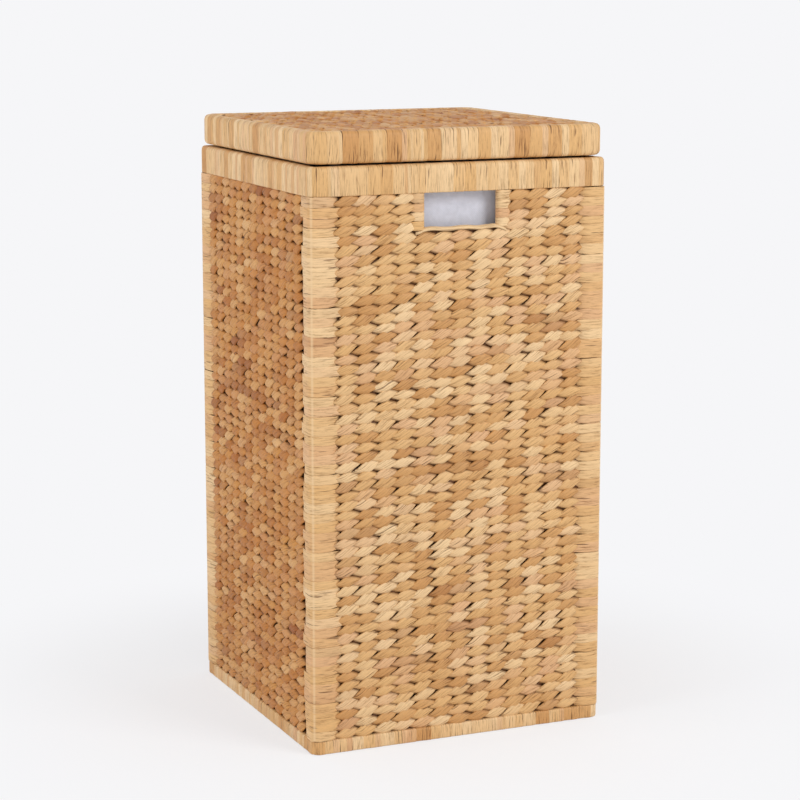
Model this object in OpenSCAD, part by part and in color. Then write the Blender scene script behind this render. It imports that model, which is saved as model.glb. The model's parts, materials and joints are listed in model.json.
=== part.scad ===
// Square woven laundry hamper with a hinged lid and a sewn cotton liner.
//
// A frame of steel rod carries everything. Cane stakes stand between the base
// and the rim, the twined walls are woven on them, flat strands bind the corners,
// and the rim, the base and the lid's edge are wrapped over the rods.
// The lid turns on its own back rod, held by two loops bound to the rim's rod.
//
// Frame: +Z up, +X right, -Y front, hinge at +Y. The origin is on the floor,
// under the middle of the hamper.

/* [Body] */
// Width of the body, left to right
body_w = 330; // [240:1:480]
// Depth of the body, front to back
body_d = 330; // [240:1:480]
// Height of the body, floor to the top of the rim
body_h = 600; // [360:1:800]
// Thickness of the twined walls
wall_t = 11; // [9:0.5:14]

/* [Rim, base and corners] */
// Height of the wrapped rim
rim_h = 30; // [26:1:45]
// Thickness of the wrapped rim and base, outside to inside
band_t = 15; // [14:0.5:20]
// Rounding of the rim's top edges
rim_edge_r = 5; // [3:0.5:6]
// Corner radius of the rim and base, seen from above
body_corner_r = 10; // [6:0.5:12]
// Height of the wrapped base
base_h = 15; // [14:0.5:25]
// Width of the strand binding on each side of a corner
corner_leg = 28.5; // [24:0.5:40]

/* [Frame rods] */
// Diameter of the frame's rods
rod_d = 6; // [5:0.5:7]
// Diameter of the corner posts
post_d = 7; // [6:0.5:8]
// Distance of the rods from the body's outer face
rod_inset = 7; // [6.5:0.5:8]
// Depth of the rim's rods under the rim's top
rim_rod_drop = 8; // [7:0.5:12]
// Height of the base's rods over the floor
base_rod_z = 7.5; // [6:0.5:9]

/* [Stakes] */
// Diameter of the stakes that the weave runs round
stake_d = 3.5; // [2:0.5:4]
// Distance between stakes
stake_pitch = 21; // [16:0.5:30]
// Depth of the stakes' ends in the rim, base and lid wraps
stake_seat = 3; // [2:0.5:4]

/* [Hand slots] */
// Width of the hand slot in each side
slot_w = 80; // [60:1:120]
// Height of the hand slot under the rim
slot_h = 34; // [25:1:60]
// Thickness of the binding round the slot
slot_bind_t = 3; // [2:0.5:5]

/* [Bottom panel] */
// Thickness of the woven bottom
floor_t = 10; // [8:0.5:12]
// Height of the woven bottom's underside over the floor
floor_lift = 3; // [2:0.5:5]

/* [Lid] */
// Height of the lid's wrapped edge
lid_h = 33; // [28:1:50]
// Gap between the rim and the closed lid
lid_gap = 1.5; // [1.5:0.1:3]
// Distance of the lid's edge inside the body's outer face
lid_inset = 1; // [0:0.5:2]
// Thickness of the lid's wrapped edge
lid_band_t = 15; // [14:0.5:20]
// Corner radius of the lid, seen from above
lid_corner_r = 18; // [14:0.5:24]
// Distance of the lid's rods from its outer face and underside
lid_rod_inset = 6; // [5.8:0.1:6.5]
// Thickness of the lid's woven panel
lid_panel_t = 10; // [8:0.5:12]
// Depth of the lid's woven panel under its wrapped edge
lid_panel_drop = 0.5; // [0:0.5:4]

/* [Hinge] */
// Distance between the middles of the two hinge loops
hinge_span = 170; // [120:1:200]
// Width of a hinge loop along the rod
loop_w = 14; // [10:1:24]
// Thickness of a loop round its rods
loop_t = 2.5; // [2:0.1:2.5]
// Opening angle of the lid, in degrees
lid_open = 105; // [60:1:105]

/* [Liner] */
// Thickness of the liner's cloth
liner_t = 1.2; // [0.8:0.1:2]
// Height of the liner's top edge under the rim's top
liner_drop = 10; // [6:1:14]
// Height of the liner's folded hem
hem_h = 20; // [15:1:30]
// Thickness of the folded hem inside the liner
hem_t = 1.2; // [0.8:0.1:2]
// Height of the hook-and-loop strips that hold the liner
strip_h = 16; // [10:1:16]
// Length of each hook-and-loop strip
strip_len = 120; // [60:1:160]
// Thickness of a hook-and-loop strip, both halves
strip_t = 1.4; // [1:0.1:2.5]

/* [Clearances] */
// Clearance between rods or stakes and what is wrapped round them
wrap_fit = 0.1; // [0.1:0.05:0.3]
// Radial clearance of the lid's rod in its loops
hinge_fit = 0.08; // [0.05:0.01:0.1]
// Clearance round the loops in the lid's edge
loop_room = 0.4; // [0.3:0.1:1]
// Clearance between soft or woven pieces that lie side by side
seat_gap = 0.3; // [0.3:0.1:0.5]

/* [Hidden] */
$fn = 64;
eps = 1;
front = 0;
right = 1;
back = 2;
left = 3;
SIDE_NAMES = ["front", "right", "back", "left"];

strand_tan = "#E0BE8C";
strand_pale = "#E6C99A";
weave_tan = "#DDB57C";
weave_amber = "#CB9358";
rod_grey = "#8A8C8F";
cane_brown = "#A87C4C";
cotton_grey = "#CFD0DC";

rod_r = rod_d / 2;
post_r = post_d / 2;
stake_r = stake_d / 2;
loop_r = rod_r + loop_t;

rim_z = body_h - rim_h;
rim_rod_z = body_h - rim_rod_drop;
slot_z = rim_z - slot_h;
lid_z = body_h + lid_gap;
lid_top = lid_z + lid_h;
lid_w = body_w - 2 * lid_inset;
lid_d = body_d - 2 * lid_inset;
hinge_y = lid_d / 2 - lid_rod_inset;
hinge_z = lid_z + lid_rod_inset;
lid_bend_r = lid_corner_r - lid_rod_inset;
lid_panel_z = lid_top - lid_panel_drop - lid_panel_t;
lid_stake_z = lid_panel_z + lid_panel_t / 2;
bottom_stake_z = floor_lift + floor_t / 2;

liner_in = band_t + strip_t + seat_gap;
liner_floor_z = floor_lift + floor_t + seat_gap + max(0, base_h - floor_lift - floor_t);
liner_z = liner_floor_z + liner_t;
liner_top = body_h - liner_drop;
strip_z = liner_top - hem_h / 2 - strip_h / 2;
corner_round_r = min(8, wall_t - 2);

// Length of a side of the body, of the lid, and the distance of its face from the middle
function body_len(side) = side % 2 == 0 ? body_w : body_d;
function body_out(side) = (side % 2 == 0 ? body_d : body_w) / 2;
function lid_len(side) = side % 2 == 0 ? lid_w : lid_d;
function lid_out(side) = (side % 2 == 0 ? lid_d : lid_w) / 2;
// Length of wall between two corner bindings
function weave_len(side) = body_len(side) - 2 * corner_leg;
// Stakes stand evenly about the middle of a span
function stake_places(span) =
    let (count = floor(span / stake_pitch))
    [for (i = [0 : count - 1]) (i - (count - 1) / 2) * stake_pitch];
function has_slot(side) = side % 2 == 1;
// A stake that would cross the hand slot ends under its binding
function stake_top(side, x) =
    has_slot(side) && abs(x) < slot_w / 2 + slot_bind_t + stake_r + seat_gap
    ? slot_z - slot_bind_t - seat_gap
    : rim_z + stake_seat;

// Children are drawn with their outer face on y = 0, inwards along +y
module on_side(side, out) {
    rotate([0, 0, 90 * side]) translate([0, -out, 0]) children();
}

module rod_along_x(length, r) {
    translate([-length / 2, 0, 0]) rotate([0, 90, 0]) cylinder(r = r, h = length);
}

module rod_along_y(length, r) {
    translate([0, length / 2, 0]) rotate([90, 0, 0]) cylinder(r = r, h = length);
}

// Plan of a box with round corners
module round_plan(w, d, r) {
    square([w - 2 * r, d], center = true);
    square([w, d - 2 * r], center = true);
    for (x = [-1, 1], y = [-1, 1]) translate([x * (w / 2 - r), y * (d / 2 - r)]) circle(r);
}

// Section of a wrapped band, outer face on x = 0, with its outer edges rounded
module band_section(t, h, top_r, bottom_r) {
    difference() {
        square([t, h]);
        if (top_r > 0) translate([-eps, h - top_r]) square([top_r + eps, top_r + eps]);
        if (bottom_r > 0) translate([-eps, -eps]) square([bottom_r + eps, bottom_r + eps]);
    }
    if (top_r > 0) translate([top_r, h - top_r]) circle(top_r);
    if (bottom_r > 0) translate([bottom_r, bottom_r]) circle(bottom_r);
}

// One mitred side of a wrapped band that goes round w by d
module band_side(side, w, d, t, h, top_r, bottom_r, corner_r) {
    length = side % 2 == 0 ? w : d;
    out = (side % 2 == 0 ? d : w) / 2;
    intersection() {
        on_side(side, out)
            translate([-length / 2, 0, 0]) rotate([90, 0, 90])
                linear_extrude(length) band_section(t, h, top_r, bottom_r);
        on_side(side, out)
            linear_extrude(h)
                polygon([
                    [-length / 2, 0], [length / 2, 0],
                    [length / 2 - t, t], [-length / 2 + t, t]
                ]);
        linear_extrude(h) round_plan(w, d, corner_r);
    }
}

// A straight rod of the body's frame; short is what each end stops before the posts' axes
module body_rod(side, z, r, short) {
    on_side(side, body_out(side))
        translate([0, rod_inset, z])
            rod_along_x(body_len(side) - 2 * (rod_inset + short), r);
}

module post_at(side, r, z0, z1) {
    on_side(side, body_out(side))
        translate([-body_len(side) / 2 + rod_inset, rod_inset, z0]) cylinder(r = r, h = z1 - z0);
}

// The stakes of one wall from z0 up; a stake that ends lower than z0 is left out
module stakes_of(side, r, z0, extra) {
    on_side(side, body_out(side))
        for (x = stake_places(weave_len(side)))
            if (stake_top(side, x) > z0)
                translate([x, wall_t / 2, z0])
                    cylinder(r = r, h = stake_top(side, x) + extra - z0);
}

// The lid's rods: the front and the hinge rod end in quarter bends, the sides are straight
module lid_long_rod(side, r) {
    straight = lid_len(side) - 2 * lid_corner_r;
    on_side(side, lid_out(side)) translate([0, lid_rod_inset, hinge_z]) {
        rod_along_x(straight, r);
        for (end = [0, 1])
            mirror([end, 0, 0]) translate([straight / 2, lid_bend_r, 0]) rotate([0, 0, -90])
                rotate_extrude(angle = 90) translate([lid_bend_r, 0]) circle(r);
    }
}

module lid_short_rod(side, r) {
    on_side(side, lid_out(side))
        translate([0, lid_rod_inset, hinge_z]) rod_along_x(lid_len(side) - 2 * lid_corner_r, r);
}

module lid_rods(r) {
    for (side = [front, back]) lid_long_rod(side, r);
    for (side = [right, left]) lid_short_rod(side, r);
}

module at_loops() {
    for (x = [-1, 1]) translate([x * hinge_span / 2, 0, 0]) children();
}

// The room that the loops need in the rim: down to the rim's rod, open at the top
module rim_loop_room() {
    width = loop_w + 2 * wrap_fit;
    at_loops() translate([0, hinge_y, rim_rod_z]) {
        rod_along_x(width, loop_r + wrap_fit);
        translate([-width / 2, -loop_r - wrap_fit, 0])
            cube([width, 2 * (loop_r + wrap_fit), rim_rod_drop + eps]);
    }
}

// The room that the loops need in the lid while it turns from closed to open:
// from straight down, through the lid's back, to past level as the lid lies open
module lid_loop_room() {
    width = loop_w + 2 * loop_room;
    reach = loop_r + loop_room;
    far = lid_rod_inset + eps;
    past_level = max(0, lid_open - 90);
    roof = reach / cos(past_level);
    at_loops() translate([-width / 2, hinge_y, hinge_z])
        rotate([90, 0, 90]) linear_extrude(width)
            polygon([
                [-reach, -far], [-reach, roof], [0, roof],
                [far, roof + far * tan(past_level)], [far, -far]
            ]);
}

module corner_post(side) {
    color(rod_grey) post_at(side, post_r, floor_lift, body_h - rim_edge_r);
}

module rim_rod(side) {
    color(rod_grey) body_rod(side, rim_rod_z, rod_r, post_r + wrap_fit);
}

module base_rod(side) {
    color(rod_grey) body_rod(side, base_rod_z, rod_r, post_r + wrap_fit);
}

module stakes(side) {
    color(cane_brown) stakes_of(side, stake_r, base_h - stake_seat, 0);
}

// The opening for the hand, with its binding when margin is the binding's thickness
module slot_cut(side, margin) {
    on_side(side, body_out(side))
        translate([-slot_w / 2 - margin, -eps, slot_z - margin])
            cube([slot_w + 2 * margin, wall_t + 2 * eps, slot_h + margin + eps]);
}

module weave(side) {
    color(has_slot(side) ? weave_tan : weave_amber) difference() {
        on_side(side, body_out(side))
            translate([-weave_len(side) / 2, 0, base_h])
                cube([weave_len(side), wall_t, rim_z - base_h]);
        stakes_of(side, stake_r + wrap_fit, base_h - eps, eps);
        if (has_slot(side)) slot_cut(side, slot_bind_t + wrap_fit);
    }
}

module slot_binding(side) {
    color(strand_tan) difference() {
        on_side(side, body_out(side))
            translate([-slot_w / 2 - slot_bind_t, 0, slot_z - slot_bind_t])
                cube([slot_w + 2 * slot_bind_t, wall_t, slot_h + slot_bind_t]);
        slot_cut(side, 0);
    }
}

// An L of strands round the corner at the start of a side
module corner_wrap(side) {
    x0 = -body_len(side) / 2;
    color(strand_pale) difference() {
        on_side(side, body_out(side))
            translate([x0, 0, base_h]) linear_extrude(rim_z - base_h) {
                difference() {
                    square(corner_leg);
                    square(corner_round_r);
                    translate([wall_t, wall_t]) square(corner_leg);
                }
                intersection() {
                    translate([corner_round_r, corner_round_r]) circle(corner_round_r);
                    square(corner_round_r);
                }
            }
        post_at(side, post_r + wrap_fit, base_h - eps, rim_z + eps);
    }
}

module rim_wrap(side) {
    color(strand_pale) difference() {
        translate([0, 0, rim_z])
            band_side(side, body_w, body_d, band_t, rim_h, rim_edge_r, 0, body_corner_r);
        body_rod(side, rim_rod_z, rod_r + wrap_fit, 0);
        for (s = [side, (side + 1) % 4])
            post_at(s, post_r + wrap_fit, rim_z - eps, body_h - rim_edge_r + wrap_fit);
        stakes_of(side, stake_r + wrap_fit, rim_z - eps, wrap_fit);
        if (side == back) rim_loop_room();
    }
}

module base_wrap(side) {
    color(strand_pale) difference() {
        band_side(side, body_w, body_d, band_t, base_h, 0, 0, body_corner_r);
        body_rod(side, base_rod_z, rod_r + wrap_fit, 0);
        for (s = [side, (side + 1) % 4])
            post_at(s, post_r + wrap_fit, floor_lift - wrap_fit, base_h + eps);
        stakes_of(side, stake_r + wrap_fit, base_h - stake_seat - wrap_fit, 0);
        bottom_stakes_at(stake_r + wrap_fit, wrap_fit);
    }
}

// Stakes of the woven bottom, front to back
module bottom_stakes_at(r, extra) {
    length = body_d - 2 * band_t + 2 * stake_seat + 2 * extra;
    for (x = stake_places(body_w - 2 * band_t))
        translate([x, 0, bottom_stake_z]) rod_along_y(length, r);
}

module bottom_weave() {
    w = body_w - 2 * band_t - 2 * wrap_fit;
    d = body_d - 2 * band_t - 2 * wrap_fit;
    color(weave_amber) difference() {
        translate([-w / 2, -d / 2, floor_lift]) cube([w, d, floor_t]);
        bottom_stakes_at(stake_r + wrap_fit, eps);
    }
}

module bottom_stakes() {
    color(cane_brown) bottom_stakes_at(stake_r, 0);
}

// A side of the sewn bag; the front and back lie over the ends of the others
module liner(side) {
    lap = side % 2 == 0 ? 0 : liner_t;
    length = body_len(side) - 2 * (liner_in + lap);
    color(cotton_grey) on_side(side, body_out(side))
        translate([-length / 2, liner_in, liner_z]) cube([length, liner_t, liner_top - liner_z]);
}

module liner_floor() {
    color(cotton_grey) translate([-body_w / 2 + liner_in, -body_d / 2 + liner_in, liner_floor_z])
        cube([body_w - 2 * liner_in, body_d - 2 * liner_in, liner_t]);
}

// The folded hem inside the bag's top edge
module liner_hem() {
    w = body_w - 2 * (liner_in + liner_t);
    d = body_d - 2 * (liner_in + liner_t);
    color(cotton_grey) translate([0, 0, liner_top - hem_h]) difference() {
        translate([-w / 2, -d / 2, 0]) cube([w, d, hem_h]);
        translate([-w / 2 + hem_t, -d / 2 + hem_t, -eps])
            cube([w - 2 * hem_t, d - 2 * hem_t, hem_h + 2 * eps]);
    }
}

// Hook-and-loop strips between the rim and the liner
module liner_strips() {
    color("white") for (side = [front : left])
        on_side(side, body_out(side))
            translate([-strip_len / 2, band_t, strip_z]) cube([strip_len, strip_t, strip_h]);
}

// A loop bound to the rim's back rod, in which the lid's rod turns
module hinge_loop(x_sign) {
    color(strand_tan) translate([x_sign * hinge_span / 2, hinge_y, 0]) difference() {
        union() {
            translate([0, 0, rim_rod_z]) rod_along_x(loop_w, loop_r);
            translate([0, 0, hinge_z]) rod_along_x(loop_w, loop_r);
            translate([-loop_w / 2, -loop_r, rim_rod_z])
                cube([loop_w, 2 * loop_r, hinge_z - rim_rod_z]);
        }
        translate([0, body_d / 2 - rod_inset - hinge_y, rim_rod_z])
            rod_along_x(loop_w + eps, rod_r + wrap_fit);
        translate([0, 0, hinge_z]) rod_along_x(loop_w + eps, rod_r + hinge_fit);
    }
}

module lid_wrap(side) {
    color(strand_pale) difference() {
        translate([0, 0, lid_z])
            band_side(side, lid_w, lid_d, lid_band_t, lid_h, lid_rod_inset, lid_rod_inset,
                      lid_corner_r);
        lid_rods(rod_r + wrap_fit);
        if (side % 2 == 0) lid_stakes_at(stake_r + wrap_fit, wrap_fit);
        if (side == back) lid_loop_room();
    }
}

module lid_rod(side) {
    color(rod_grey) {
        if (side == front) lid_long_rod(side, rod_r);
        else lid_short_rod(side, rod_r);
    }
}

module lid_hinge_rod() {
    color(rod_grey) lid_long_rod(back, rod_r);
}

// Stakes of the lid's woven panel, front to back
module lid_stakes_at(r, extra) {
    length = lid_d - 2 * lid_band_t + 2 * stake_seat + 2 * extra;
    for (x = stake_places(lid_w - 2 * lid_band_t))
        translate([x, 0, lid_stake_z]) rod_along_y(length, r);
}

module lid_weave() {
    w = lid_w - 2 * lid_band_t - 2 * wrap_fit;
    d = lid_d - 2 * lid_band_t - 2 * wrap_fit;
    color(weave_tan) difference() {
        translate([-w / 2, -d / 2, lid_panel_z]) cube([w, d, lid_panel_t]);
        lid_stakes_at(stake_r + wrap_fit, eps);
    }
}

module lid_stakes() {
    color(cane_brown) lid_stakes_at(stake_r, 0);
}

corner_post(front);  // corner_post_front
corner_post(right);  // corner_post_right
corner_post(back);  // corner_post_back
corner_post(left);  // corner_post_left
rim_rod(front);  // rim_rod_front
rim_rod(right);  // rim_rod_right
rim_rod(back);  // rim_rod_back
rim_rod(left);  // rim_rod_left
base_rod(front);  // base_rod_front
base_rod(right);  // base_rod_right
base_rod(back);  // base_rod_back
base_rod(left);  // base_rod_left
stakes(front);  // stakes_front
stakes(right);  // stakes_right
stakes(back);  // stakes_back
stakes(left);  // stakes_left
weave(front);  // weave_front
weave(right);  // weave_right
weave(back);  // weave_back
weave(left);  // weave_left
corner_wrap(front);  // corner_wrap_front
corner_wrap(right);  // corner_wrap_right
corner_wrap(back);  // corner_wrap_back
corner_wrap(left);  // corner_wrap_left
rim_wrap(front);  // rim_wrap_front
rim_wrap(right);  // rim_wrap_right
rim_wrap(back);  // rim_wrap_back
rim_wrap(left);  // rim_wrap_left
base_wrap(front);  // base_wrap_front
base_wrap(right);  // base_wrap_right
base_wrap(back);  // base_wrap_back
base_wrap(left);  // base_wrap_left
slot_binding(right);  // slot_binding_right
slot_binding(left);  // slot_binding_left
bottom_weave();
bottom_stakes();
liner(front);  // liner_front
liner(right);  // liner_right
liner(back);  // liner_back
liner(left);  // liner_left
liner_floor();
liner_hem();
liner_strips();
hinge_loop(-1);  // hinge_loop_left
hinge_loop(1);  // hinge_loop_right
lid_wrap(front);  // lid_wrap_front
lid_wrap(right);  // lid_wrap_right
lid_wrap(back);  // lid_wrap_back
lid_wrap(left);  // lid_wrap_left
lid_rod(front);  // lid_rod_front
lid_rod(right);  // lid_rod_right
lid_rod(left);  // lid_rod_left
lid_hinge_rod();
lid_weave();
lid_stakes();
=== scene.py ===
"""A laundry hamper of twined strand with wrapped bands, bound corners, a hinged lid and a cotton liner."""
import json
import random
from math import cos, hypot, pi, radians, sin, tau

import bmesh
import bpy
from mathutils import Matrix, Vector

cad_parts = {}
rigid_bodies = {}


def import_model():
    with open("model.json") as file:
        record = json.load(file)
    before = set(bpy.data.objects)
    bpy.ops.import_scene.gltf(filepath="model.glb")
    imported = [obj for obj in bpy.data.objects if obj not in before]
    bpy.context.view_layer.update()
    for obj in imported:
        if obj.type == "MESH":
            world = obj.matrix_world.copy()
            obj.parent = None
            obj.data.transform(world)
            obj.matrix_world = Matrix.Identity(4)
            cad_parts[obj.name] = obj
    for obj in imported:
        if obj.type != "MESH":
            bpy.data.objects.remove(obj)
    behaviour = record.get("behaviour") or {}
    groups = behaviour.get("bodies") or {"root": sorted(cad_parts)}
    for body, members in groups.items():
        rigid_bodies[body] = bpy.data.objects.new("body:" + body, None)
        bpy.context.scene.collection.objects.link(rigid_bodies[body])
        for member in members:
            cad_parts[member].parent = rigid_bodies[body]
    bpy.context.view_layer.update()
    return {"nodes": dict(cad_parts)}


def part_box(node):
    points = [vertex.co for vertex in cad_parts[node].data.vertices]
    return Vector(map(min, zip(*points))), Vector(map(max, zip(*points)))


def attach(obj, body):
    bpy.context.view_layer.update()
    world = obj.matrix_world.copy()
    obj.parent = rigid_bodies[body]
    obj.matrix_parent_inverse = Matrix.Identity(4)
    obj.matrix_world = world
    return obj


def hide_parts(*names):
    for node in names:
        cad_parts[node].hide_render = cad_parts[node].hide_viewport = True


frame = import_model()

bl_info = {
    "name": "Woven laundry hamper", "version": (1, 0, 0), "blender": (4, 5, 0),
    "location": "View3D > Sidebar > Hamper",
    "description": "Grows the strands, bands, liner and stage round the hamper's frame",
    "category": "Add Mesh",
}

MM = 0.001
LEAN_ROOM = 0.2 * MM  # what a leaning strip needs over and under itself
# The amber wash darkens and warms the strand: partly its own amber tone, partly painted shade.
AMBER_AND_SHADE_WASH = (0.73, 0.47, 0.18, 1.0)
SIDES = ("front", "right", "back", "left")
SLOT_SIDES = ("right", "left")
# Share of the amber wash per wall: partly each wall's own tone, partly painted shade, most on the front
# wall, which stands in shade.
AMBER_AND_SHADE_BY_SIDE = {"front": 1.0, "right": 0.0, "back": 0.3, "left": 0.6}
FLAT_ON_TOP = Matrix.Rotation(radians(-90), 4, "X")
OUTER_LEAVES, INNER_LEAVES, CORNER_STRANDS, SLOT_TURNS, BAND_STRIPS = 12, 6, 10, 6, 12  # templates of each
SLOT_STRANDS = 4  # strands bound over each upright edge of a hand slot
LOOP_TURNS = 6
STRIP_OVERLAP = 1.1 * MM  # what a wrapped strip lies under its neighbours
NEAR_WALL = 9 * MM  # cloth points this close to a wall's plane belong to the wall
CLOTH_FRAMES = 22
CLOTH = {
    "quality": 5, "mass": 0.15, "tension_stiffness": 12, "compression_stiffness": 12,
    "shear_stiffness": 4, "bending_stiffness": 0.35, "vertex_group_mass": "hem",
    "use_pressure": True, "uniform_pressure_force": -0.06,
}


# ---------------------------------------------------------------------------
# Places read from the frame
# ---------------------------------------------------------------------------

def lowest(node_name):
    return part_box(node_name)[0]


def highest(node_name):
    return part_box(node_name)[1]


HALF = -lowest("rim_wrap_front").y
RIM_TOP = highest("rim_wrap_front").z
RIM_FOOT = lowest("rim_wrap_front").z
BASE_TOP = highest("base_wrap_front").z
BASE_FOOT = lowest("base_wrap_front").z
LID_HALF = -lowest("lid_wrap_front").y
LID_FOOT = lowest("lid_wrap_front").z
LID_TOP = highest("lid_wrap_front").z
BAND_T = highest("rim_wrap_front").y - lowest("rim_wrap_front").y
WALL_T = highest("weave_front").y - lowest("weave_front").y
WALL_MID = HALF - WALL_T / 2
SLOT_HALF = highest("slot_binding_right").y - 3 * MM
SLOT_SILL = lowest("slot_binding_right").z + 3 * MM
HINGE_Y = (highest("hinge_loop_left").y + lowest("hinge_loop_left").y) / 2
LOOPS = ("hinge_loop_left", "hinge_loop_right")


def turned(side):
    """The turn that takes something made on the front side to another side."""
    return Matrix.Rotation(radians(90 * SIDES.index(side)), 4, "Z")


# ---------------------------------------------------------------------------
# Settings
# ---------------------------------------------------------------------------

def length(name, description, default_mm):
    """A length property, given in millimetres and kept in metres."""
    return bpy.props.FloatProperty(name=name, description=description, default=default_mm * MM,
                                   unit="LENGTH", precision=4)


def tint(name, description, hex_colour):
    return bpy.props.FloatVectorProperty(name=name, description=description, size=3, min=0, max=1,
                                         subtype="COLOR", default=linear(hex_colour)[:3])


def linear(hex_colour):
    """An sRGB hex colour as linear red, green, blue and alpha."""
    parts = [int(hex_colour[i:i + 2], 16) / 255 for i in (1, 3, 5)]
    return [c / 12.92 if c <= 0.04045 else ((c + 0.055) / 1.055) ** 2.4 for c in parts] + [1.0]


class HamperWeave(bpy.types.PropertyGroup):
    """The twined strand of the walls, the lid and the bottom."""
    row_pitch: length("Row pitch", "Height of one twined row", 9.9)
    stake_pitch: length("Stake pitch", "Distance between the stakes", 21)
    leaf_length: length("Leaf length", "Length of one turn of strand, its hidden ends included", 36)
    leaf_width: length("Leaf width", "Width of the strand over a stake", 12.4)
    leaf_thickness: length("Leaf thickness", "Thickness of the flattened strand", 4.6)
    twist: length("Twist radius", "How far a strand runs from the row's middle", 2.7)
    wander: length("Wander", "How far a row strays from level", 1.5)
    seed: bpy.props.IntProperty(name="Seed", description="Seed of the weave's small differences", default=7)


class HamperBands(bpy.types.PropertyGroup):
    """The flat strands wrapped over the rim, the base and the lid's edge."""
    narrowest: length("Narrowest strip", "Width of the narrowest strip", 2.6)
    widest: length("Widest strip", "Width of the widest strip", 17)
    groove: length("Groove", "Depth of the groove between two strips", 0.27)
    slant: bpy.props.FloatProperty(name="Slant", description="Largest lean of a strip",
                                   default=radians(1.6), subtype="ANGLE")


class HamperCorners(bpy.types.PropertyGroup):
    """The flat strands bound round the corners."""
    leg: length("Leg", "How far a strand reaches from the corner", 35)
    corner_radius: length("Corner radius", "Outer radius of a bound corner", 8)
    thickness: length("Thickness", "Thickness of a corner strand", 2)


class HamperLiner(bpy.types.PropertyGroup):
    """The cotton liner."""
    cell: length("Cell", "Spacing of the simulated cloth's points", 12.4)
    ease: bpy.props.FloatProperty(name="Ease", description="How much wider than its space the cloth is cut",
                                  default=0.018, subtype="FACTOR")
    inward: length("Inward limit", "How far the cloth may hang away from the wall", 9)
    outward: length("Outward limit", "How far the cloth may press towards the wall", 1.2)


class HamperColours(bpy.types.PropertyGroup):
    """Colours of the strand and the cloth."""
    straw: tint("Straw", "Main colour of the strand", "#D9AD75")
    pale: tint("Pale", "Palest strand", "#E7C699")
    rose: tint("Rose", "Pinkish strand", "#D9AC80")
    amber: tint("Amber", "Amber strand", "#C6925A")
    russet: tint("Russet", "Reddish brown strand", "#A8703F")
    # shade is the dark brown of the cracks, and the colour a strand is painted towards as painted shade in
    # its gaps
    shade: tint("Shade", "Strand inside the gaps", "#5A3517")
    cotton: tint("Cotton", "Cotton of the liner", "#D2D4E0")


class HamperStage(bpy.types.PropertyGroup):
    """The camera, the lamps and the floor."""
    azimuth: bpy.props.FloatProperty(name="Azimuth", description="Turn of the camera round the hamper",
                                     default=radians(66.3), subtype="ANGLE")
    elevation: bpy.props.FloatProperty(name="Elevation", description="Height angle of the camera",
                                       default=radians(10.3), subtype="ANGLE")
    distance: bpy.props.FloatProperty(name="Distance", description="From the camera to the hamper's middle",
                                      default=2.58, unit="LENGTH")
    lens: bpy.props.FloatProperty(name="Lens", description="Focal length in millimetres", default=107)
    backdrop: tint("Backdrop", "Colour of the floor and the backdrop", "#F6F6F8")


GROUPS = {
    "hamper_weave": HamperWeave, "hamper_bands": HamperBands, "hamper_corners": HamperCorners,
    "hamper_liner": HamperLiner, "hamper_colours": HamperColours, "hamper_stage": HamperStage,
}


# ---------------------------------------------------------------------------
# Nodes
# ---------------------------------------------------------------------------

def node(tree, kind, values=None, stops=(), **settings):
    """Adds a node. A value that is a node or a socket is linked, and any other is set on the input."""
    made = tree.nodes.new(kind)
    for key, value in settings.items():
        setattr(made, key, value)
    for number, (position, colour) in enumerate(stops):
        if number >= len(made.color_ramp.elements):
            made.color_ramp.elements.new(1.0)
        made.color_ramp.elements[number].position = position
        made.color_ramp.elements[number].color = colour
    for key, value in (values or {}).items():
        if isinstance(key, int):
            socket = made.inputs[key]
        else:
            socket = next(s for s in made.inputs if s.name == key and s.enabled)
        if isinstance(value, bpy.types.Node):
            value = result(value)
        if isinstance(value, bpy.types.NodeSocket):
            tree.links.new(value, socket)
        else:
            socket.default_value = value
    return made


def result(made, name=None):
    """The output of a node that is in use, the first one or the named one."""
    return next(s for s in made.outputs if s.enabled and (name is None or s.name == name))


def new_tree(name, sockets):
    """A geometry tree with these named inputs, as the tree and a table of its input sockets."""
    tree = bpy.data.node_groups.new(name, "GeometryNodeTree")
    for label, kind in sockets.items():
        tree.interface.new_socket(label, in_out="INPUT", socket_type="NodeSocket" + kind)
    tree.interface.new_socket("Geometry", in_out="OUTPUT", socket_type="NodeSocketGeometry")
    start = tree.nodes.new("NodeGroupInput")
    return tree, {s.name: s for s in start.outputs if s.name}


def close_tree(tree, geometry, material):
    """Ends a tree: instances become real, and the material is set."""
    real = node(tree, "GeometryNodeRealizeInstances", {"Geometry": geometry})
    dressed = node(tree, "GeometryNodeSetMaterial", {"Geometry": real, "Material": material})
    node(tree, "NodeGroupOutput", {"Geometry": dressed})
    return tree


def marked(tree, instances, seed, spread, warmth=0.0):
    """Gives every instance its own tone from 0 to 1, the place where it sits and its share of the amber
    wash, which is partly tone and partly painted shade.
    """
    tone = node(tree, "FunctionNodeRandomValue", {"Min": 0.0, "Max": 1.0, "Seed": seed}, data_type="FLOAT")
    place = node(tree, "GeometryNodeInputPosition")
    moved = node(tree, "ShaderNodeVectorMath", {0: place, 1: spread}, operation="ADD")
    for label, kind, value in (("tone", "FLOAT", tone), ("seat", "FLOAT_VECTOR", moved),
                               ("warmth", "FLOAT", warmth)):
        instances = node(tree, "GeometryNodeStoreNamedAttribute", {
            "Geometry": instances, "Name": label, "Value": value}, data_type=kind, domain="INSTANCE")
    return instances


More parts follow.
